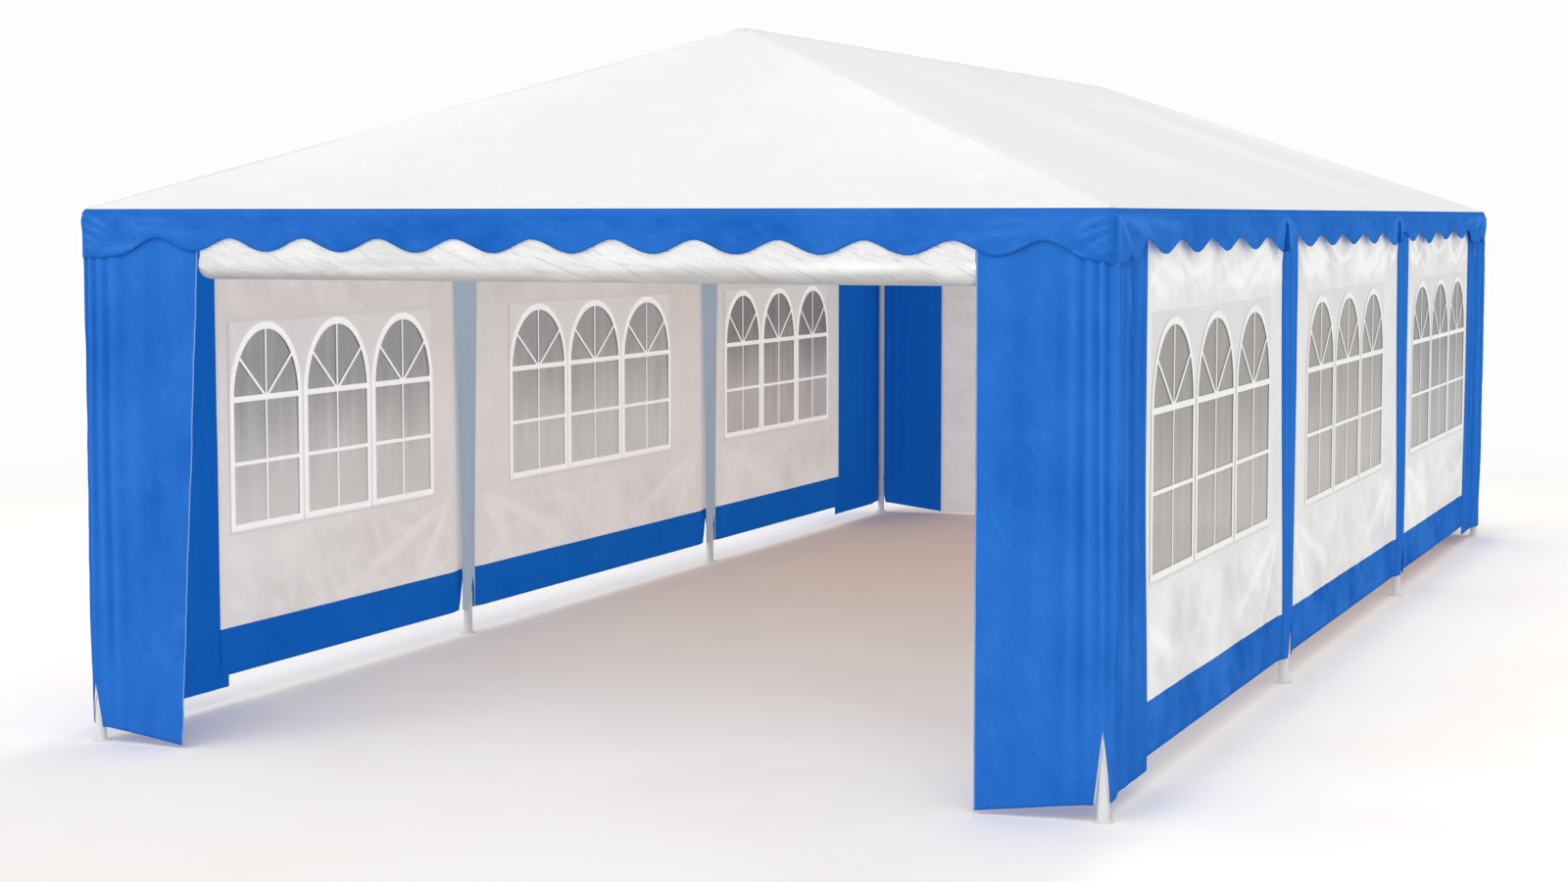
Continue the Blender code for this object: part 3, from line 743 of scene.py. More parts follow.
# The ring of the cover's columns. Each says which side it is on and that side's direction, its
# share of the side's flat half, that half, and how far it is turned round the corner.
Column = namedtuple("Column", "edge nx ny share flat_half turn")
WIDE_STEPS = {"end": 0.026, "side": 0.036}
ring = []
cover_sides = (
    (0, -1, EAVE_X, (), "end"),
    (1, 0, EAVE_Y, PLEATS, "side"),
    (0, 1, EAVE_X, (), "end"),
    (-1, 0, EAVE_Y, [-pleat for pleat in PLEATS], "side"),
)
for edge, (nx, ny, half, pleats, kind) in enumerate(cover_sides):
    flat_half = half - CORNER_ROUND
    for s in column_places(flat_half, pleats, WIDE_STEPS[kind]):
        ring.append(Column(edge, nx, ny, s / flat_half, flat_half, 0.0))
    for i in range(1, CORNER_STEPS):
        ring.append(Column(edge, nx, ny, 1.0, flat_half, math.pi / 2 * i / CORNER_STEPS))
ring.append(ring[0])


def cover_row(inset_side, inset_end, z_side, z_end, corner):
    """One ring of the cover: how far it is set in, its height and its corner radius."""
    row = np.zeros((len(ring), 3))
    half_x, half_y = EAVE_X - inset_side, EAVE_Y - inset_end
    corner = min(corner, 0.3 * half_x)
    for i, (_, nx, ny, share, _, turn) in enumerate(ring):
        along_half = (half_x if ny else half_y) - corner
        out_half = (half_y if ny else half_x) - corner
        tx, ty = -ny, nx
        reach = along_half * share + corner * math.sin(turn)
        out = out_half + corner * math.cos(turn)
        z_here, z_next = (z_end, z_side) if ny else (z_side, z_end)
        z = z_here + (z_next - z_here) * (turn / (math.pi / 2))
        row[i] = (nx * out + tx * reach, ny * out + ty * reach, z)
    return row


rows = []
for i in range(ROOF_ROWS):
    k = 1 - i / ROOF_ROWS
    side_k = EAVE_ROUND * (1 - math.sin(SIDE_PITCH)) / EAVE_X
    end_k = EAVE_ROUND * (1 - math.sin(END_PITCH)) / HIP_INSET
    inset_side = EAVE_X * (side_k + (1 - side_k) * k)
    inset_end = HIP_INSET * (end_k + (1 - end_k) * k)
    z_side = EAVE_Z + inset_side * math.tan(SIDE_PITCH)
    z_end = EAVE_Z + inset_end * math.tan(END_PITCH)
    hip_round = 0.004 + 0.022 * max(0, 1 - k / 0.03)
    rows.append(cover_row(inset_side, inset_end, z_side, z_end, hip_round))
for i in range(EAVE_ROWS + 1):
    sets = []
    for slope in (SIDE_PITCH, END_PITCH):
        centre = EAVE_Z + EAVE_ROUND * (math.tan(slope) - 1 / math.cos(slope))
        a = slope + (math.pi / 2 - slope) * i / EAVE_ROWS
        sets.append((EAVE_ROUND * (1 - math.sin(a)), centre + EAVE_ROUND * math.cos(a)))
    (inset_side, z_side), (inset_end, z_end) = sets
    rows.append(cover_row(inset_side, inset_end, z_side, z_end, CORNER_ROUND))
eave_row = rows[-1]
depths = np.zeros(len(ring))
side_edge = (SIDE_NOTCHES, EAVE_Y)
side_edges = ((END_NOTCHES["front"], EAVE_X), side_edge, (END_NOTCHES["back"], EAVE_X), side_edge)
for edge, (notches, half) in enumerate(side_edges):
    mine = [i for i, column in enumerate(ring) if column.edge == edge]
    along_side = np.array([ring[i].share * ring[i].flat_half for i in mine]) * (-1 if edge >= 2 else 1)
    depths[mine] = valance_depth(along_side, notches, half)
    if edge in (1, 3):
        from_tuck = np.abs(half - np.abs(along_side) - TUCK_FROM_CORNER)
        depths[mine] -= TUCK_RISE * np.clip(1 - from_tuck / TUCK_HALF, 0, 1)
    depths[[i for i in mine if ring[i].turn > 0]] = VALANCE_CORNER
drops = eave_row[:, 2] - (EAVE_Z - depths)
for i in range(1, VALANCE_ROWS + 1):
    row = eave_row.copy()
    row[:, 2] -= drops * i / VALANCE_ROWS
    rows.append(row)
cover = np.array(rows)

# The slopes sag between the tubes, and the whole cover is faintly crumpled.
x, y, z = cover[..., 0], cover[..., 1], cover[..., 2]
up_slope = np.clip((z - EAVE_Z) / (RIDGE_Z - EAVE_Z), 0, 1)
hip_y = EAVE_Y - HIP_INSET * up_slope
on_end = np.abs(y) - hip_y > -0.002
hip_x = np.maximum(EAVE_X * (1 - up_slope), 0.01)
between = np.where(
    np.abs(y) < POSTS[2],
    0.5 + 0.5 * y / POSTS[2],
    np.clip((np.abs(y) - POSTS[2]) / np.maximum(hip_y - POSTS[2], 0.01), 0, 1),
)
between = np.where(on_end, np.clip(0.5 + 0.5 * x / hip_x, 0, 1), between)
ROOF_SAG = 0.013
sag = ROOF_SAG * np.sin(np.pi * up_slope) * np.sin(np.pi * between)
sag += 0.0030 * crumple(x + 20, y * 0.8 + 20, 3, 0.42) * smooth(0.0, 0.05, up_slope)
near_top = smooth(0.0, 0.02, up_slope) * smooth(1.0, 0.97, up_slope)
cover[..., 2] -= sag * near_top

# The valance: creases that spread from the corners, a pleat by each mid post, soft swells between.
nx = np.array([column.nx for column in ring], float)
ny = np.array([column.ny for column in ring], float)
turn = np.array([column.turn for column in ring])
tx, ty = -ny, nx
out_x = nx * np.cos(turn) + tx * np.sin(turn)
out_y = ny * np.cos(turn) + ty * np.sin(turn)
VALANCE_START = 0.012
below_eave = EAVE_Z - z
hanging = smooth(VALANCE_START, 0.045, below_eave)
place_along = x * np.abs(ny) + y * np.abs(nx)

# Each crease runs between two points, given as (distance from the corner, depth below the eave),
# and has a width and a height.
END_CREASES = (
    ((0.02, 0.022), (0.55, 0.040), 0.013, 0.0050),
    ((0.01, 0.010), (0.15, 0.074), 0.008, 0.0090),
    ((0.01, 0.052), (0.13, 0.094), 0.007, 0.0080),
    ((0.01, 0.086), (0.10, 0.130), 0.007, 0.0080),
    ((0.01, 0.120), (0.08, 0.152), 0.007, 0.0070),
    ((0.10, 0.152), (0.34, 0.126), 0.009, 0.0050),
    ((0.20, 0.060), (0.70, 0.115), 0.016, 0.0035),
)
SIDE_CREASES = (
    ((0.01, 0.020), (0.07, 0.170), 0.010, 0.0090),
    ((0.01, 0.016), (0.20, 0.125), 0.012, 0.0110),
    ((0.02, 0.014), (0.52, 0.090), 0.014, 0.0090),
    ((0.05, 0.012), (0.95, 0.062), 0.014, 0.0070),
)

# The creases that spread from each pleat's top: (which way, how far they lean)
PLEAT_CREASES = ((-1, 0.5), (-1, 1.6), (1, 0.9), (1, 2.2))
swell = 0.0030 * (1 + crumple(place_along + 30, below_eave * 2.6 + place_along * 0.3, 23, 0.22)) * hanging
swell += 0.0016 * crumple(place_along + 12, below_eave * 1.4 + 5, 29, 0.07) * hanging
on_ends = np.broadcast_to(np.abs(ny) > 0.5, z.shape)
from_corner = np.where(on_ends, EAVE_X - np.abs(x), EAVE_Y - np.abs(y))
for creases, here in ((END_CREASES, on_ends), (SIDE_CREASES, ~on_ends)):
    for start, end, width, height in creases:
        swell += np.where(here, height * fold_line(from_corner, below_eave, start, end, width), 0)
FLAP_HEIGHT = 0.017
FLAP_BACK = 0.014
low_down = np.clip(below_eave / 0.16, 0, 1)
for pleat in PLEATS:
    beyond = np.where(on_ends, 9.0, y - pleat)
    flap = smooth(0.0, FLAP_BACK, beyond) * smooth(0.04 + 0.16 * low_down, FLAP_BACK, beyond)
    swell += FLAP_HEIGHT * flap * low_down
    swell -= 0.006 * smooth(-0.05, -0.01, beyond) * smooth(0.004, 0.0, beyond) * low_down
    for way, lean in PLEAT_CREASES:
        start, end = (0.01 * way, 0.012), (way * lean * 0.14, 0.15)
        swell += 0.0045 * fold_line(beyond, below_eave, start, end, 0.014)
swell += 0.0015 * smooth(0.0, 0.012, depths - below_eave) * hanging
calm = smooth(0.0, 0.04, from_corner)
cover_push = np.maximum(swell, -0.004) * hanging * calm
cover[..., 0] += out_x * cover_push
cover[..., 1] += out_y * cover_push

zones = np.zeros((len(rows) - 1, len(ring) - 1), int)
zones[ROOF_ROWS + 1 :] = 1
column_y = eave_row[:, 1]
on_side = np.abs(nx) > 0.5
# The faces inside each pleat take a darker blue: a painted shadow.
for pleat in PLEATS:
    middle = (column_y[:-1] + column_y[1:]) / 2 - pleat
    in_pleat = on_side[:-1] & (np.abs(middle - 0.005) < 0.009)
    zones[ROOF_ROWS + EAVE_ROWS + 3 :, in_pleat] = 2

# The mesh's folds are painted paler on their ridges and darker in their valleys, as highlight and shade.
# The front and back are painted a little darker as shade, a painted highlight runs just under the
# eave, and the roof slopes are painted darker where they sag.
FOLD_CONTRAST = 62.0
ROOF_CONTRAST = 25
FLAT_SWELL = 0.0034
fold_shade = 0.5 + FOLD_CONTRAST * (swell - FLAT_SWELL) * hanging * calm
fold_shade = fold_shade - 0.16 * on_ends + 0.16 * smooth(0.040, 0.018, below_eave)
roof_fold_shade = 0.5 - ROOF_CONTRAST * (sag - ROOF_SAG * np.sin(np.pi * up_slope)) * near_top
fold_shade = np.where(below_eave > VALANCE_START, fold_shade, roof_fold_shade)
roof_mesh = grid_mesh("roof_cover", cover, (0, 0, 1.2), zones=zones, folds=fold_shade)
cover_outsides = [roof_white, blue_outside, pleat_shadow]
cover_insides = [roof_inside, blue_inside, blue_inside]
roof_cover = cloth_piece("roof_cover", roof_mesh, cover_outsides, cover_insides)
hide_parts(*[f"roof_cover_{part}" for part in (*SIDES, *ENDS)])


def roof_height(x, y):
    """The height of the flat roof planes over a place in plan."""
    side = EAVE_Z + (EAVE_X - abs(x)) * math.tan(SIDE_PITCH)
    end = EAVE_Z + (EAVE_Y - abs(y)) * math.tan(END_PITCH)
    return min(side, end)


# A folded seam is sewn along each hip, where the slopes of the cover meet. Its profile gives
# (share of its width, height).
SEAM_WIDTH = 0.022
SEAM_STEPS = 60
SEAM_PROFILE = ((-0.5, 0.0004), (-0.42, 0.0016), (-0.1, 0.0022), (0.1, 0.0022), (0.42, 0.0016), (0.5, 0.0004))
for end, sy in ENDS.items():
    for side, sx in SIDES.items():
        hip = Vector((sx * EAVE_X, sy * HIP_INSET, 0)).normalized()
        level_across = Vector((-hip.y, hip.x, 0))
        strip = []
        for i in range(SEAM_STEPS + 1):
            k = 0.008 + 0.985 * i / SEAM_STEPS
            foot = Vector((sx * EAVE_X * (1 - k), sy * (EAVE_Y - HIP_INSET * k), 0))
            row = []
            for c, proud in SEAM_PROFILE:
                spot = foot + level_across * c * SEAM_WIDTH
                row.append((spot.x, spot.y, roof_height(spot.x, spot.y) + proud))
            strip.append(row)
        seam_mesh = grid_mesh(f"hip_seam_{end}_{side}", np.array(strip), (0, 0, 1.2))
        seam = cloth_piece(seam_mesh.name, seam_mesh, [roof_white], [roof_inside], 0.001)
        length = math.dist(strip[0][0], strip[-1][0])


# Corner wraps
# A blue cloth goes round each corner leg from the doorway to the first side panel. It hangs in
# upright folds by the leg and is slit at the foot, where its white lining shows.
WALL_OFFSET = 0.0258
WRAP_FREE_X = {
    "front": {"left": (1.487, 1.589), "right": (1.536, 1.540)},
    "back": {"left": (1.558, 1.558), "right": (1.558, 1.558)},
}
WRAP_SIDE_WIDTH = {"left": 0.86, "right": 0.54}
WRAP_TURN_IN = 0.20
WRAP_TOP_FRONT = EAVE_AXIS
WALL_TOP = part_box("side_panel_right_1")[1].z
WRAP_HEM = {"free": 0.012, "leg": 0.058, "side": 0.067}
SLIT_CENTRE = -0.017
SLIT_HALF = 0.031
SLIT_HEIGHT = {"left": 0.236, "right": 0.318}
HEM_PIPING = 0.005
WRAP_FOOT_SPREAD = 0.06
NEAR_LEG = (-0.158, 0.200)
NEAR_LEG_STEP = 0.0062
FRONT_STEPS = 28
BEYOND_STEPS = {"left": 40, "right": 22}
WRAP_SHADE = 0.47
WRAP_CONTRAST = 34
LINING_WIDTH = 0.12
LINING_OPEN_HALF = 0.0245
LINING_OVER = 0.05

blue_drape = cloth_material(
    "blue_drape", (0.003, 0.092, 0.43), (0.044, 0.224, 0.745), 0.6, 0.22, 0.004, upright=0.2, specular=0.0,
    mottled=0.25
)
wrap_white = cloth_material("wrap_lining", (0.80, 0.80, 0.79), (0.86, 0.86, 0.85), 0.55, 0.1, 0.002)
piping_blue, tree, shader, place = start_material("piping_blue", 0.5, Specular_IOR_Level=0.1)
piping_colour = mixed(tree, noise(tree, place, 0.02), (0.14, 0.30, 0.66), (0.26, 0.42, 0.74))
tree.links.new(piping_colour, shader.inputs["Base Color"])
add_bump(tree, shader, noise(tree, place, 0.004), 0.0003)


def wrap_plan(s, offset):
    """The place in plan of a wrap at s, counted from the corner: front is below 0, side above."""
    quarter = offset * math.pi / 2
    dy = np.clip(s - quarter / 2, 0, None)
    turned_in = smooth(0.03, WRAP_TURN_IN, dy) * 0.88
    a = np.clip((s + quarter / 2) / quarter, 0, 1) * math.pi / 2
    x = LEG_X + offset * np.sin(a) * (1 - turned_in) + np.clip(s + quarter / 2, None, 0)
    y = -LEG_Y - offset * np.cos(a) + dy
    return x, y, np.sin(a), -np.cos(a)


# Each fold runs between two points, given as (place round the corner, height), and has a width
# and a height of its own, which is below 0 for a valley. The first ones lie on the front.
WRAP_FOLDS = (
    ((-0.400, 2.40), (-0.430, -0.6), 0.040, 0.0013),
    ((-0.300, 2.40), (-0.330, -0.6), 0.030, -0.0010),
    ((-0.225, 2.40), (-0.245, -0.6), 0.028, 0.0020),
    ((-0.165, 2.40), (-0.185, -0.6), 0.016, -0.0018),
    ((-0.128, 2.40), (-0.140, -0.6), 0.014, 0.0042),
    ((-0.096, 2.40), (-0.102, -0.2), 0.008, -0.0045),
    ((-0.074, 2.40), (-0.066, -0.2), 0.009, 0.0052),
    ((-0.052, 2.40), (-0.032, 0.20), 0.006, -0.0045),
    ((-0.034, 2.40), (-0.022, 0.25), 0.007, 0.0075),
    ((-0.012, 2.40), (-0.006, 0.25), 0.006, -0.0075),
    ((0.030, 2.40), (0.026, -0.2), 0.014, 0.0085),
    ((0.075, 2.40), (0.062, -0.2), 0.010, -0.0070),
    ((0.120, 2.40), (0.110, -0.2), 0.018, 0.0070),
    ((0.150, 1.95), (0.400, 1.55), 0.016, 0.0070),
    ((0.190, 1.95), (0.200, -0.2), 0.020, -0.0050),
    ((0.260, 2.20), (0.265, -0.2), 0.024, 0.0060),
    ((0.340, 2.20), (0.350, -0.2), 0.020, -0.0040),
    ((0.420, 2.20), (0.420, -0.2), 0.026, 0.0050),
    ((0.540, 2.20), (0.550, -0.2), 0.034, 0.0050),
    ((0.660, 2.20), (0.650, -0.2), 0.030, 0.0045),
    ((0.780, 2.20), (0.780, -0.2), 0.030, 0.0040),
)


def wrap_columns(side, free_length, side_length):
    """Places of a wrap's columns round the corner, which are close together by the leg."""
    first_step, last_step = (round((reach - SLIT_CENTRE) / NEAR_LEG_STEP) for reach in NEAR_LEG)
    by_leg = SLIT_CENTRE + NEAR_LEG_STEP * np.arange(first_step, last_step + 1)
    front = np.linspace(-free_length, by_leg[0], FRONT_STEPS)[:-1]
    front = np.insert(front, 1, front[0] + HEM_PIPING)
    beyond = np.linspace(by_leg[-1], side_length, BEYOND_STEPS[side])[1:]
    return np.concatenate([front, by_leg, beyond])


def wrap_folds(s, z, at_foot, seed):
    """How far a wrap's folds stand out: the long folds, swells between them and a puckered hem."""
    wander = 0.006 * soft_noise(z * 1.7 + 4, z * 0 + seed, seed) * smooth(0.3, 0.8, z)
    folds = np.zeros_like(z)
    for start, foot, width, height in WRAP_FOLDS:
        folds += height * fold_line(s + wander, z, start, foot, width)
    folds *= at_foot
    folds += 0.0040 * crumple(s + 3 + seed + 0.3 * z, z * 0.8 + 4, seed + 5, 0.26)
    folds += 0.0012 * crumple(s + 3 + seed, z * 0.35 + 4, seed + 6, 0.06)
    puckers = smooth(0.07, 0.0, s - s[0, 0])
    return folds + 0.0022 * puckers * soft_noise(s * 8 + 3, z * 30, seed + 8)


def corner_wrap(end, side, seed):
    """One wrap, which leans and swings out a little at its free edge."""
    quarter = WALL_OFFSET * math.pi / 2
    free_top, free_foot = WRAP_FREE_X[end][side]
    side_length = WRAP_SIDE_WIDTH[side] - WALL_OFFSET - 0.002 + quarter / 2
    free_length = LEG_X - free_top + quarter / 2
    s = wrap_columns(side, free_length, side_length)
    along_front = np.clip(-(s + 0.075) / (free_length - 0.075), 0, 1)
    slit = np.clip(1 - np.abs(s - SLIT_CENTRE) / SLIT_HALF, 0, 1)
    front_hem = WRAP_HEM["leg"] + (WRAP_HEM["free"] - WRAP_HEM["leg"]) * along_front
    hem = np.where(s < 0, front_hem, WRAP_HEM["side"])
    hem = hem + (SLIT_HEIGHT[side] - hem) * slit
    top = np.where(s < -quarter / 2, WRAP_TOP_FRONT, WALL_TOP)
    heights = np.concatenate([[0, 0.006], np.linspace(0.02, 1, 54)])
    z = hem[None, :] + (top - hem)[None, :] * heights[:, None]
    down = (WRAP_TOP_FRONT - z) / WRAP_TOP_FRONT
    s_grid = np.broadcast_to(s, z.shape)
    x, y, normal_x, normal_y = (np.broadcast_to(v, z.shape) for v in wrap_plan(s, WALL_OFFSET))
    x = x + (free_foot - free_top) * down * along_front[None, :]
    along_side = np.clip((s - NEAR_LEG[1]) / (side_length - NEAR_LEG[1]), 0, 1)[None, :]
    y = y + WRAP_FOOT_SPREAD * along_side * smooth(1.2, 0.1, z)
    at_foot = 0.35 + 0.65 * smooth(0.05, 0.55, z)
    folds = wrap_folds(s_grid, z, at_foot, seed)
    # Painted shade and highlight: the folds are paler on their ridges and darker in their valleys.
    fold_shade = WRAP_SHADE + WRAP_CONTRAST * (folds - 0.0012)
    folds = folds + 0.0045 * smooth(0.20, 0.02, np.abs(s_grid)) * at_foot
    under_valance = smooth(0.0, 0.05, (EAVE_Z - VALANCE_CORNER) - z + 0.04)
    folds = np.clip(folds * (0.20 + 0.80 * under_valance), -0.002, 0.014)
    folds *= smooth(0.0, 0.03, (side_length - s)[None, :] + 0.005)
    swing = 0.010 * along_front[None, :] ** 2 * smooth(0.2, 1.0, down)
    out_x, out_y = x + normal_x * folds, y + normal_y * folds - swing
    points = np.stack([SIDES[side] * out_x, ENDS[end] * -out_y, z], axis=-1)
    zones = np.zeros((len(heights) - 1, len(s) - 1), int)
    zones[:, 0] = 1
    mesh = grid_mesh(f"blue_wrap_{end}_{side}", points, (0, 0, 1), zones=zones, folds=fold_shade)
    wrap = cloth_piece(mesh.name, mesh, [blue_drape, piping_blue], [blue_inside, piping_blue])
    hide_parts(f"corner_wrap_{end}_{side}")


def slit_lining(end, side):
    """The white lining that shows as a narrow line at both edges of a wrap's slit."""
    s = SLIT_CENTRE + np.linspace(-LINING_WIDTH / 2, LINING_WIDTH / 2, 25)
    opening = np.clip(1 - np.abs(s - SLIT_CENTRE) / LINING_OPEN_HALF, 0, 1)
    foot = np.where(s < 0, WRAP_HEM["leg"], WRAP_HEM["side"]) + 0.006
    foot = foot + (SLIT_HEIGHT[side] - LINING_OVER - foot) * opening
    share = np.linspace(0, 1, 12)[:, None]
    z = foot[None, :] + (SLIT_HEIGHT[side] + LINING_OVER - foot)[None, :] * share
    x, y, _, _ = (np.broadcast_to(v, z.shape) for v in wrap_plan(s, WALL_OFFSET - 0.0022))
    points = np.stack([SIDES[side] * x, ENDS[end] * -y, z], axis=-1)
    mesh = grid_mesh(f"slit_lining_{end}_{side}", points, (0, 0, 1))
    lining = cloth_piece(mesh.name, mesh, [wrap_white], [blue_inside], 0.0008)


for seed, (end, side) in enumerate([(e, s) for e in ENDS for s in SIDES]):
    corner_wrap(end, side, 40 + 7 * seed)
    slit_lining(end, side)


# Side panels
# White woven sheet with a blue band along its foot. Three arched openings are cut in each, and
# the clear film with its welded white bars closes them.
BAND_TOP = 0.31
PANEL_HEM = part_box("side_panel_right_1")[0].z
POST_SLIT_HEIGHT = 0.28
POST_SLIT_HALF = 0.04
POST_BULGE_HALF = 0.17
POST_BULGE = 0.0262
WINDOW_CENTRES = {"left": (-2.69, -0.06, 2.57), "right": (-2.87, -0.07, 2.86)}
WINDOW_PITCHES = {"left": (0.58, 0.66, 0.58), "right": (0.68, 0.68, 0.68)}
WINDOW_BORDERS = 0.07
SILL = {"left": 0.715, "right": 0.735}
SPRING = {"left": 1.25, "right": 1.325}
ARCH_RISE = {"left": 0.29, "right": 0.30}
SECOND_BAR = {"left": 0.982, "right": 1.035}
PATCH_TOP = {"left": 1.575, "right": 1.675}
PATCH_FOOT = {"left": 0.692, "right": 0.712}
FILM_MARGIN = 0.003
GAP_STEP = 0.026
WINDOW_STEPS = 20
PANEL_SHADE = 0.60
PANEL_CONTRAST = 120

# How far each layer lies outside the plane of the legs' axes. The bars are outside and inside.
WALL_LAYER = 0.0012
FILM_LAYER = -0.0012
SURROUND_LAYER = -0.0030
BAR_LAYERS = (0.0019, -0.0042)

panel_white = cloth_material(
    "panel_white", (0.62, 0.625, 0.63), (1.0, 1.0, 0.995), 0.5, 0.22, 0.005, slant=1.2, mottled=0.3
)
panel_patch = cloth_material("panel_patch", (0.62, 0.63, 0.63), (0.84, 0.85, 0.85), 0.45, 0.3, 0.002)
panel_inside = cloth_material(
    "panel_inside", (0.52, 0.497, 0.484), (0.83, 0.804, 0.79), 0.6, 0.25, 0.004, ((1, 0.95, 0.92), 0.25),
    slant=1.2, mottled=0.3
)
patch_inside = cloth_material(
    "patch_inside", (0.50, 0.49, 0.48), (0.68, 0.67, 0.66), 0.55, 0.3, 0.002, ((1, 0.98, 0.96), 0.30)
)


def paint_shade(material, mask, colour, blend="MIX"):
    """Lays a painted shade colour over a finished cloth, where the mask is 1."""
    tree = material.node_tree
    painted = tree.nodes["Principled BSDF"].inputs["Base Color"]
    shade_mix = add_node(tree, "ShaderNodeMix", data_type="RGBA", blend_type=blend)
    shade_mix.inputs[7].default_value = (*colour, 1)
    tree.links.new(mask, shade_mix.inputs[0])
    tree.links.new(painted.links[0].from_socket, shade_mix.inputs[6])
    tree.links.new(shade_mix.outputs[2], painted)


# Inside, the cloth is painted darker the nearer it is to the roof: painted shade.
for finish, shaded in ((panel_inside, (0.76, 0.74, 0.72)), (patch_inside, (0.84, 0.83, 0.82))):
    tree = finish.node_tree
    inside_axes = split_axes(tree, add_node(tree, "ShaderNodeTexCoord").outputs["Object"])
    paint_shade(finish, ramp(tree, inside_axes["Z"], 1.0, 1.9), shaded, "MULTIPLY")

# The bars glow by themselves, the inner ones much more: painted light.
BAR_FINISHES = []
for name, glow in (("window_bar_white", 0.05), ("window_bar_inside", 0.34)):
    bar_finish, tree, shader, place = start_material(name, 0.45)
    bar_colour = mixed(tree, noise(tree, place, 0.08), (0.84, 0.84, 0.83), (0.88, 0.88, 0.87))
    tree.links.new(bar_colour, shader.inputs["Base Color"])
    add_bump(tree, shader, noise(tree, place, 0.01), 0.0003)
    add_glow(bar_finish, shader, glow, (1, 0.99, 0.98))
    BAR_FINISHES.append(bar_finish)

# Clear film: painted darker towards the arch as shade and paler towards the sill as light, with soft
# upright streaks; its paler foot is painted darker on the right-hand side, as shade. It is a little
# thicker in the last bay.
FILM_SHADED_TOP = (0.165, 0.158, 0.151)
PALE_FILM = {"left": (0.70, 0.685, 0.66), "right": (0.40, 0.385, 0.368)}
window_film, tree, shader, place = start_material("window_film", 0.30, Specular_IOR_Level=0.25)
film_axes = split_axes(tree, place)
paler = ramp(tree, film_axes["Z"], 1.45, 0.80)
streaks = noise(tree, place, 0.09, detail=2.0, stretch=(1, 1, 14))
clouds = noise(tree, place, 0.30, detail=2.0, stretch=(1, 1, 1.6))
uneven = maths(tree, "MULTIPLY_ADD", clouds, 0.7, maths(tree, "MULTIPLY", streaks, 0.9))
paled = maths(tree, "ADD", maths(tree, "SUBTRACT", paler, 0.80), uneven, clamp=True)
pale_film = mixed(tree, ramp(tree, film_axes["X"], -0.5, 0.5), PALE_FILM["left"], PALE_FILM["right"])
tree.links.new(mixed(tree, paled, FILM_SHADED_TOP, pale_film), shader.inputs["Base Color"])
at_back = ramp(tree, film_axes["Y"], 1.2, 2.0)
thick = maths(tree, "MULTIPLY_ADD", at_back, 0.13, 0.76)
tree.links.new(maths(tree, "MULTIPLY_ADD", streaks, 0.08, thick), shader.inputs["Alpha"])
add_bump(tree, shader, noise(tree, place, 0.12, detail=1.0, stretch=(1, 1, 4)), 0.0015, 0.5)
window_film.surface_render_method = "BLENDED"


def panel_bulge(y):
    """How far the wall stands out from the plane of the legs, over its mid posts."""
    nearest = np.minimum(np.abs(y - POSTS[1]), np.abs(y - POSTS[2]))
    return POST_BULGE * smooth(POST_BULGE_HALF, 0.0, nearest)


# Cloth hung from a few points sags in swags: (middle along the bay, half width, lowest depth).
SWAGS = ((0.16, 0.32, 0.20), (0.42, 0.38, 0.16), (0.66, 0.40, 0.22), (0.90, 0.26, 0.17))


def panel_swell(y, z, side, seed):
    """Folds of a side panel: taut and nearly flat by the windows, loose above and below them."""
    top, foot = PATCH_TOP[side], PATCH_FOOT[side]
    over = smooth(top - 0.02, top + 0.10, z)
    below = smooth(foot + 0.02, foot - 0.12, z)
    loose = 0.12 + 0.88 * np.maximum(over, 0.8 * below)
    folds = 0.0045 * crumple(y + 0.55 * z + seed, z * 1.1 + 8, seed, 0.27) * loose
    bay = POSTS[2] - POSTS[1]
    for near, far in zip(POSTS, POSTS[1:]):
        for middle, half, depth in SWAGS:
            along = (y - near - middle * bay) / half
            hangs = WALL_TOP - 0.02 - depth * (1 - np.clip(along ** 2, 0, 1))
            drawn = np.exp(-(((z - hangs) / 0.020) ** 2)) * smooth(1.05, 0.75, np.abs(along))
            folds += 0.0055 * drawn * over
        for post, way in ((near, 1), (far, -1)):
            for reach, drop in ((0.45, 0.30), (0.95, 0.33), (1.35, 0.26)):
                start, end = (post + 0.10 * way, WALL_TOP - 0.01), (post + reach * way, WALL_TOP - drop)
                folds += 0.0035 * fold_line(y, z, start, end, 0.016) * over
            for reach, drop in ((0.5, 0.40), (1.1, 0.34)):
                start, end = (post + 0.16 * way, foot - 0.02), (post + reach * way, foot - drop)
                folds += 0.0030 * fold_line(y, z, start, end, 0.022) * below
    return np.clip(folds, -0.006, 0.008)


def panel_columns(low, high, centres, half):
    """Places of a panel's columns along its bay, and whether each step between two is in a window."""
    marks = [low]
    in_window = []
    for centre in (*centres, None):
        start = marks[-1]
        end = high if centre is None else centre - half
        steps = max(2, int((end - start) / GAP_STEP))
        marks += [start + (end - start) * i / steps for i in range(1, steps + 1)]
        in_window += [False] * steps
        if centre is not None:
            turns = [math.pi * i / WINDOW_STEPS for i in range(1, WINDOW_STEPS + 1)]
            marks += [centre - half * math.cos(turn) for turn in turns]
            in_window += [True] * WINDOW_STEPS
    return np.array(marks), np.array(in_window)


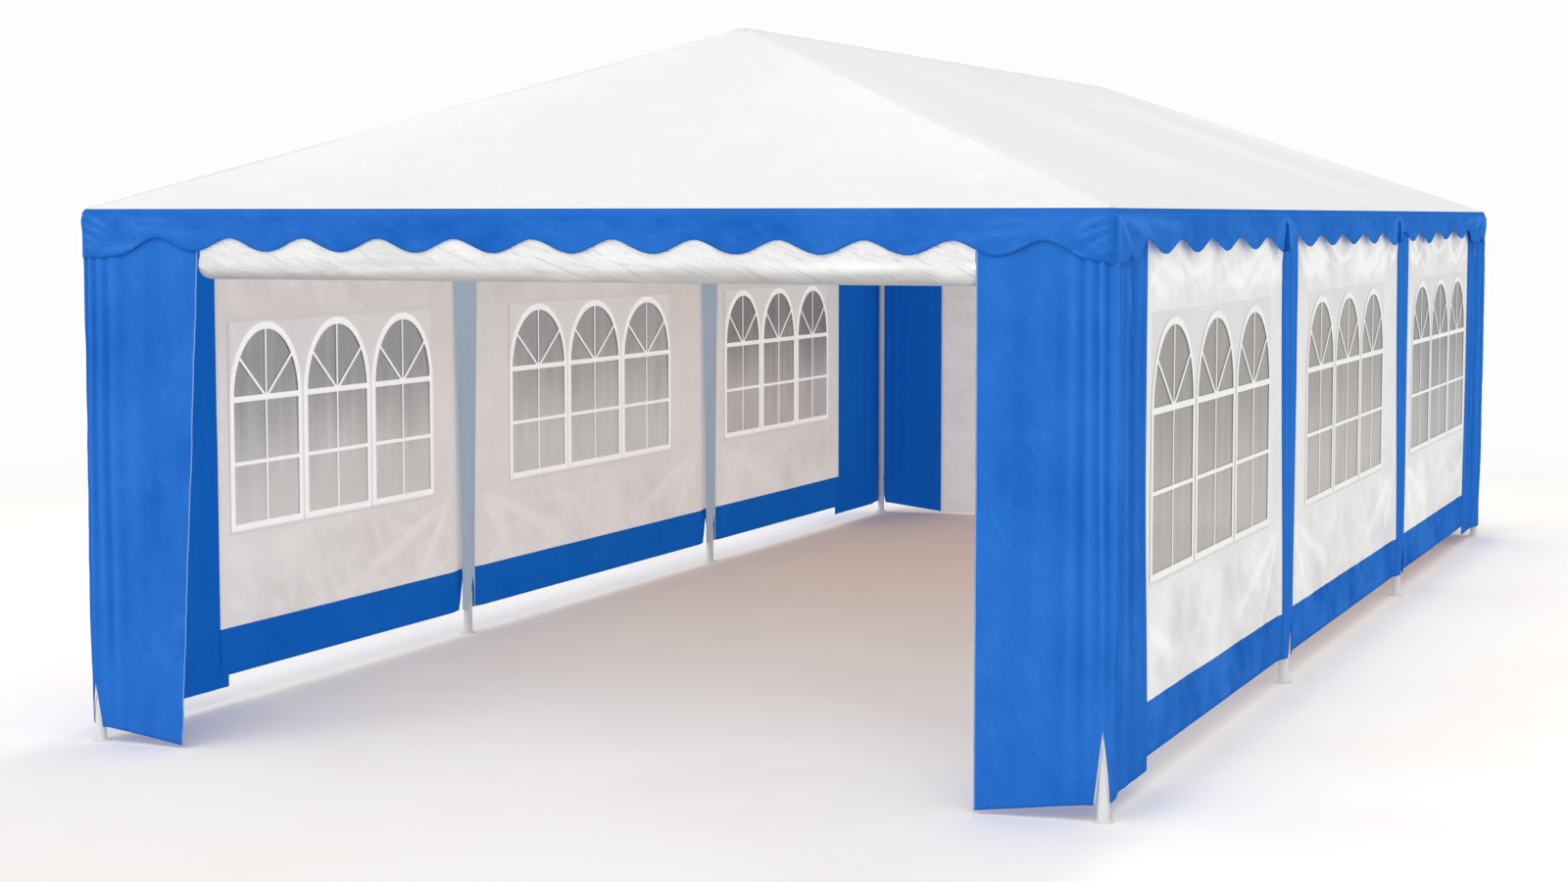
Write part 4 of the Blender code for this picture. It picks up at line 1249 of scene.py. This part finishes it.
def panel_rows(side, y, centres, half):
    """Heights of a panel's rows at each column, and whether each row is open, and its finish."""
    slit = np.zeros(len(y))
    for post in POSTS[1:3]:
        slit = np.maximum(slit, np.clip(1 - np.abs(y - post) / POST_SLIT_HALF, 0, 1))
    hem = PANEL_HEM + (POST_SLIT_HEIGHT - PANEL_HEM) * slit
    arch = np.full(len(y), SPRING[side])
    for centre in centres:
        u = np.clip((y - centre) / half, -1, 1)
        crown = SPRING[side] + ARCH_RISE[side] * np.sqrt(1 - u * u)
        arch = np.maximum(arch, np.where(np.abs(y - centre) <= half, crown, 0))

    # Bands of rows up the panel: (foot, top, steps, is open, finish)
    spans = [
        (hem, BAND_TOP, 8, False, 1),
        (BAND_TOP, PATCH_FOOT[side], 16, False, 0),
        (PATCH_FOOT[side], SILL[side], 1, False, 2),
        (SILL[side], SPRING[side], 14, True, 2),
        (SPRING[side], arch, 1, True, 2),
        (arch, PATCH_TOP[side], 7, False, 2),
        (PATCH_TOP[side], WALL_TOP, 20, False, 0),
    ]
    levels, open_rows, finishes = [hem], [], []
    for foot, top, steps, is_open, finish in spans:
        for i in range(1, steps + 1):
            levels.append(np.broadcast_to(foot + (top - foot) * i / steps, y.shape))
            open_rows.append(is_open)
            finishes.append(finish)
    return np.array(levels), np.array(open_rows), np.array(finishes)


def side_panel(side, bay, seed):
    """The cloth of one bay with its three openings, and its windows."""
    low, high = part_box(f"side_panel_{side}_{bay + 1}")
    pitch = WINDOW_PITCHES[side][bay]
    half = (pitch - WINDOW_BORDERS) / 2
    centres = [WINDOW_CENTRES[side][bay] + pitch * j for j in (-1, 0, 1)]
    y, in_window = panel_columns(low.y, high.y, centres, half)
    z, open_rows, finishes = panel_rows(side, y, centres, half)
    y_grid = np.broadcast_to(y, z.shape)
    wrap_end = LEG_Y + WALL_OFFSET - WRAP_SIDE_WIDTH[side]
    by_wrap = smooth(0.0, 0.14, wrap_end - np.abs(y_grid))
    from_post = np.minimum(np.abs(y_grid - POSTS[1]), np.abs(y_grid - POSTS[2]))
    held_flat = smooth(0.0, 0.05, z - z[0] + 0.02) * by_wrap * smooth(0.11, 0.24, from_post)
    folds = panel_swell(y_grid, z, side, seed) * held_flat
    x = LEG_X + WALL_LAYER + (panel_bulge(y_grid) + folds)
    points = np.stack([SIDES[side] * x, y_grid, z], axis=-1)
    keep = ~(open_rows[:, None] & in_window[None, :])
    middle = (y[:-1] + y[1:]) / 2
    in_patch = np.abs(middle - WINDOW_CENTRES[side][bay]) < pitch * 1.5 + 0.004
    zones = np.broadcast_to(finishes[:, None], keep.shape)
    zones = np.where((zones == 2) & ~in_patch[None, :], 0, zones)
    # Painted shade and highlight: the folds are paler on their ridges and darker in their valleys.
    fold_shade = PANEL_SHADE + PANEL_CONTRAST * (folds - 0.0005)
    name = f"wall_{side}_{bay + 1}"
    mesh = grid_mesh(name, points, (0, 0, 1), keep=keep, zones=zones, folds=fold_shade)
    outsides = [panel_white, blue_outside, panel_patch]
    insides = [panel_inside, blue_inside, patch_inside]
    wall = cloth_piece(name, mesh, outsides, insides, 0.0012)
    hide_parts(f"side_panel_{side}_{bay + 1}")

    # The inner layer of the window surround, which holds the edge of the film
    points = np.stack([SIDES[side] * (LEG_X + SURROUND_LAYER + folds), y_grid, z], axis=-1)
    mesh = grid_mesh(f"window_surround_{side}_{bay + 1}", points, (0, 0, 1), keep=keep & (zones == 2))
    inner = cloth_piece(mesh.name, mesh, [panel_patch], [patch_inside], 0.0008)
    clear_film(side, bay, seed, y[:-1][in_patch][0] + FILM_MARGIN, y[1:][in_patch][-1] - FILM_MARGIN)
    window_bars(side, bay, seed, centres, half)


def clear_film(side, bay, seed, start, end):
    """The clear film behind the three openings of a bay."""
    foot, top = PATCH_FOOT[side] + FILM_MARGIN, PATCH_TOP[side] - FILM_MARGIN
    y, z = np.broadcast_arrays(np.linspace(start, end, 70)[None, :], np.linspace(foot, top, 34)[:, None])
    x = SIDES[side] * (LEG_X + FILM_LAYER + panel_swell(y, z, side, seed))
    mesh = grid_mesh(f"clear_film_{side}_{bay + 1}", np.stack([x, y, z], axis=-1), (0, 0, 1))
    film = link_piece(mesh.name, mesh, [window_film])
    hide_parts(f"window_film_{side}_{bay + 1}")


def ribbon(bm, path, width, side, offset, seed):
    """Adds a flat bar along a path of (y, z) points, raised off one face of the cloth."""
    path = np.array(path, float)
    ahead = np.gradient(path, axis=0)
    ahead /= np.linalg.norm(ahead, axis=1)[:, None]
    normal = np.stack([-ahead[:, 1], ahead[:, 0]], axis=1)
    layers = []
    for across, proud in ((-0.5, 0.0), (-0.42, 0.0011), (0.42, 0.0011), (0.5, 0.0)):
        edge = path + normal * across * width
        out = offset + math.copysign(proud, offset)
        x = LEG_X + out + panel_swell(edge[:, 0], edge[:, 1], side, seed)
        layers.append([bm.verts.new((SIDES[side] * a, b, c)) for a, b, c in zip(x, edge[:, 0], edge[:, 1])])
    faces = [bm.faces.new([layer[i] for layer in layers]) for i in (0, -1)]
    for first, second in zip(layers, layers[1:] + layers[:1]):
        for i in range(len(path) - 1):
            faces.append(bm.faces.new((first[i], first[i + 1], second[i + 1], second[i])))
    for face in faces:
        face.material_index = 0 if offset > 0 else 1


def straight(start, end, steps=14):
    """Points along a straight bar."""
    return [(start[0] + (end[0] - start[0]) * i / steps, start[1] + (end[1] - start[1]) * i / steps)
            for i in range(steps + 1)]


ARCH_BORDER = 0.030
DIAGONAL_REACH = 0.80


def window_bars(side, bay, seed, centres, half):
    """The white bars welded on both faces of the film, as in a small cottage window."""
    sill, spring, rise, second = SILL[side], SPRING[side], ARCH_RISE[side], SECOND_BAR[side]
    bm = bmesh.new()
    for face in BAR_LAYERS:
        for centre in centres:
            edge = ARCH_BORDER / 2 - 0.004
            arch = [(centre + (half + edge) * math.cos(math.pi * i / 28),
                     spring + (rise + edge) * math.sin(math.pi * i / 28)) for i in range(29)]
            bars = [(arch, ARCH_BORDER, 1.5)]
            for way in (-1, 1):
                side_y = centre + way * (half + edge)
                bars.append((straight((side_y, sill - 0.01), (side_y, spring)), ARCH_BORDER, 1.5))
                across = DIAGONAL_REACH * (half + 0.004) * way
                height = spring + rise * math.sqrt(1 - DIAGONAL_REACH ** 2)
                bars.append((straight((centre, spring), (centre + across, height)), 0.013, 1.0))
            crossbars = ((spring, 0.024, 1.1), (second, 0.016, 1.0), (sill + 0.003, 0.026, 1.1))
            for level, width, lift in crossbars:
                bars.append((straight((centre - half, level), (centre + half, level)), width, lift))
            bars.append((straight((centre, sill), (centre, spring + rise), 26), 0.011, 0.95))
            for path, width, lift in bars:
                ribbon(bm, path, width, side, face * lift, seed)
    piece = steel_piece(f"window_bars_{side}_{bay + 1}", bm, None, 30, BAR_FINISHES)


for number, (side, bay) in enumerate([(s, b) for s in SIDES for b in range(3)]):
    side_panel(side, bay, 71 + 5 * number)


# Post sleeves
# Where two side panels meet, a blue sleeve is sewn round the post. It is wide at the eave and
# narrow at the foot, and splits there so that the leg can stand on the ground.
SLEEVE_TOP_HALF = {"outside": 0.165, "inside": 0.115}
SLEEVE_FOOT_HALF = {"outside": 0.100, "inside": 0.060}
SLEEVE_RIDGES = ((-0.09, 0.003), (-0.035, 0.004), (0.02, 0.003), (0.075, 0.003))
sleeve_inside = cloth_material(
    "sleeve_inside", (0.29, 0.385, 0.48), (0.43, 0.53, 0.64), 0.6, 0.15, 0.003, ((0.43, 0.54, 0.67), 0.19),
    upright=0.5
)


def post_sleeve(side, number, post, seed):
    """The blue strip outside a post, and the pale back of the sleeve inside."""
    sx = SIDES[side]
    share = np.linspace(-1, 1, 41)
    share = np.sign(share) * np.abs(share) ** 1.3
    rows = np.concatenate([[0, 0.006], np.linspace(0.02, 1, 44)])[:, None]
    for face in ("outside", "inside"):
        outer = face == "outside"
        foot = PANEL_HEM if outer else PANEL_HEM + 0.004
        top_half, foot_half = SLEEVE_TOP_HALF[face], SLEEVE_FOOT_HALF[face]
        opening = np.clip(1 - np.abs(share) / (POST_SLIT_HALF / foot_half), 0, 1)[None, :]
        hem = foot + (POST_SLIT_HEIGHT - foot) * opening
        z = hem + (WALL_TOP - 0.001 - hem) * rows
        half = foot_half + (top_half - foot_half) * smooth(PANEL_HEM, WALL_TOP, z)
        y = post + share[None, :] * half
        upright = crumple((y - post) * 4 + seed, z * 0.5, seed, 0.3)
        if outer:
            edge = smooth(1.0, 0.93, np.abs(share))[None, :]
            ridges = np.zeros_like(z)
            for line, height in SLEEVE_RIDGES:
                ridges += height * fold_line(y - post, z, (line * 1.3, 2.4), (line * 0.7, 0.1), 0.010)
            out = panel_bulge(y) + 0.0014 + 0.0016 * edge
            out = out + (0.0025 * np.clip(upright, -0.3, 1) + ridges) * edge * smooth(WALL_TOP, 1.8, z)
            x = LEG_X + WALL_LAYER + out
            finish, back = [blue_drape], [blue_inside]
        else:
            bow = np.cos(share * math.pi / 2)[None, :] ** 0.8
            x = LEG_X - 0.0032 - (SLEEVE_R + 0.002) * bow - 0.002 * np.abs(upright)
            finish, back = [sleeve_inside], [sleeve_inside]
        points = np.stack([sx * x, y, z], axis=-1)
        centre = (0, 0, 1) if outer else (sx * 5, post, 1)
        name = f"post_sleeve_{face}_{side}_{number}"
        # Painted shade and highlight: the outer strip is paler on its ridges, the inner one follows its
        # crumples.
        fold_shade = 0.5 + 60 * ridges if outer else 0.5 + 0.25 * upright
        mesh = grid_mesh(name, points, centre, folds=fold_shade)
        piece = cloth_piece(name, mesh, finish, back, 0.001)
        height = WALL_TOP - foot


for number, (side, post) in enumerate([(s, p) for s in SIDES for p in (1, 2)]):
    post_sleeve(side, post + 1, POSTS[post], 131 + 3 * number)


# Rear panel
# A plain white sheet between the two back wraps, hung from the back eave tube. It is creased
# from being packed.
rear_low, rear_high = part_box("rear_panel")
rear_x = np.linspace(rear_low.x, rear_high.x, 120)
rear_z = np.linspace(rear_low.z, rear_high.z, 76)[:, None]
gx, gz = np.broadcast_arrays(rear_x[None, :], rear_z)
CREASE_HEIGHTS = (0.52, 1.02, 1.52)
CREASE_PLACES = (-1.05, -0.52, 0.0, 0.52, 1.05)
CREASE_WIDTH = 0.012
rear_fold = 0.006 * crumple(gx + 0.4 * gz + 60, gz + 12, 91, 0.33)
for crease in CREASE_HEIGHTS:
    pressed = np.exp(-(((gz - crease) / CREASE_WIDTH) ** 2))
    rear_fold += 0.003 * pressed * (1 + 0.5 * soft_noise(gx * 3, gz * 0, 95))
for crease in CREASE_PLACES:
    rear_fold += 0.0025 * np.exp(-(((gx - crease) / CREASE_WIDTH) ** 2))
for way in (-1, 1):
    for reach, drop in ((0.5, 1.1), (0.9, 0.7), (1.2, 0.35)):
        start, end = (1.50 * way, 1.98), ((1.50 - reach) * way, 1.98 - drop)
        rear_fold += 0.005 * fold_line(gx, gz, start, end, 0.030)
rear_fold *= smooth(rear_high.z, rear_high.z - 0.2, gz)
rear_y = LEG_Y + WALL_OFFSET + np.clip(rear_fold, -0.002, 0.009)
rear_points = np.stack([gx, rear_y, gz], axis=-1)
# Painted shade and highlight: the sheet is paler where it stands out and darker in its hollows.
rear_fold_shade = 0.68 + 60 * (rear_fold - 0.002)
mesh = grid_mesh("back_wall", rear_points, (0, 0, 1), folds=rear_fold_shade)
back_wall = cloth_piece("back_wall", mesh, [panel_white], [panel_inside])
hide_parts("rear_panel")


# Rolled door
# The middle panel of the open end, rolled up from its hem to the eave and tied there. It is one
# sheet wound into a loose roll of about six turns.
roll_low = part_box("rolled_door")[0]
ROLL_R = 0.065
ROLL_TURNS = 5.6
ROLL_STEP = 0.0068
ROLL_LEFT, ROLL_RIGHT = -1.496, 1.537
roll_y = roll_low.y + ROLL_R
roll_z = roll_low.z + ROLL_R
roll_x = np.concatenate([
    ROLL_LEFT + 0.03 * (1 - np.cos(np.linspace(0, math.pi / 2, 9))),
    np.linspace(ROLL_LEFT + 0.04, ROLL_LEFT + 0.30, 22),
    np.linspace(ROLL_LEFT + 0.325, ROLL_RIGHT - 0.325, 92),
    np.linspace(ROLL_RIGHT - 0.30, ROLL_RIGHT - 0.04, 22),
    ROLL_RIGHT - 0.03 * (1 - np.cos(np.linspace(math.pi / 2, 0, 9))),
])
roll_rows = []
for height in np.linspace(EAVE_AXIS, roll_z, 8)[:-1]:
    roll_rows.append((roll_y - ROLL_R, height, 0.0, 0.0, -1.0, 0.0))
for w in np.linspace(0, ROLL_TURNS * 2 * math.pi, 150):
    radius = ROLL_R - ROLL_STEP * w / (2 * math.pi)
    a = math.pi + w
    roll_rows.append((roll_y, roll_z, radius, a, math.cos(a), math.sin(a)))
roll_points = np.zeros((len(roll_rows), len(roll_x), 3))
roll_fold_shade = np.full(roll_points.shape[:2], 0.5)
from_left, from_right = roll_x - ROLL_LEFT, ROLL_RIGHT - roll_x
left_rounding = 0.12 * (1 - np.clip(from_left / 0.03, 0, 1)) ** 2
right_rounding = 0.04 * (1 - np.clip(from_right / 0.02, 0, 1)) ** 2
rounding = 1 - left_rounding - right_rounding
near_end = smooth(0.28, 0.03, np.minimum(from_left, from_right))
for i, (centre_y, centre_z, radius, a, way_y, way_z) in enumerate(roll_rows):
    lump = crumple(roll_x * 0.8 + 0.12 * a, np.full_like(roll_x, 2.2 * a + 3), 101, 1.1)
    slant = np.cos(roll_x * 9 + 2.1 * a) * soft_noise(roll_x * 1.3, np.full_like(roll_x, 0.5), 107)
    bunched = crumple(roll_x + 0.10 * a, np.full_like(roll_x, 0.4 * a), 113, 0.09)
    pushed = (0.0046 * lump + 0.0018 * slant + 0.0036 * bunched * near_end) * (1 if radius else 0.4)
    reach = (radius * rounding - np.abs(pushed) * 0.6 + pushed * 0.4) if radius else -np.abs(pushed)
    # Painted shade and highlight: the roll is paler where it bulges and darker where it sinks.
    roll_fold_shade[i] = 0.50 + 130 * pushed
    roll_points[i, :, 0] = roll_x if radius else np.clip(roll_x, ROLL_LEFT + 0.014, ROLL_RIGHT - 0.004)
    roll_points[i, :, 1] = centre_y + way_y * reach
    roll_points[i, :, 2] = centre_z + way_z * reach

# Its underside is painted grey as shade, up to an uneven line.
ROLL_UNDERSIDE_SHADE = (0.50, 0.50, 0.485)
roll_white = cloth_material("roll_white", (0.66, 0.67, 0.67), (0.98, 0.98, 0.98), 0.5, 0.20, 0.012, slant=2.5)
tree = roll_white.node_tree
roll_place = add_node(tree, "ShaderNodeTexCoord").outputs["Object"]
bands = noise(tree, roll_place, 0.22, detail=2.0, stretch=(1.6, 1, 0.5), twist=0.6)
bands = maths(tree, "SUBTRACT", bands, 0.5)
shade_line_height = maths(tree, "MULTIPLY_ADD", bands, 0.09, split_axes(tree, roll_place)["Z"])
paint_shade(roll_white, ramp(tree, shade_line_height, roll_z + 0.01, roll_low.z - 0.005), ROLL_UNDERSIDE_SHADE)

mesh = grid_mesh("door_roll", roll_points, (0, roll_y, roll_z), folds=roll_fold_shade)
door_roll = cloth_piece("door_roll", mesh, [roll_white], [roll_white], 0.001)
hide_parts("rolled_door")
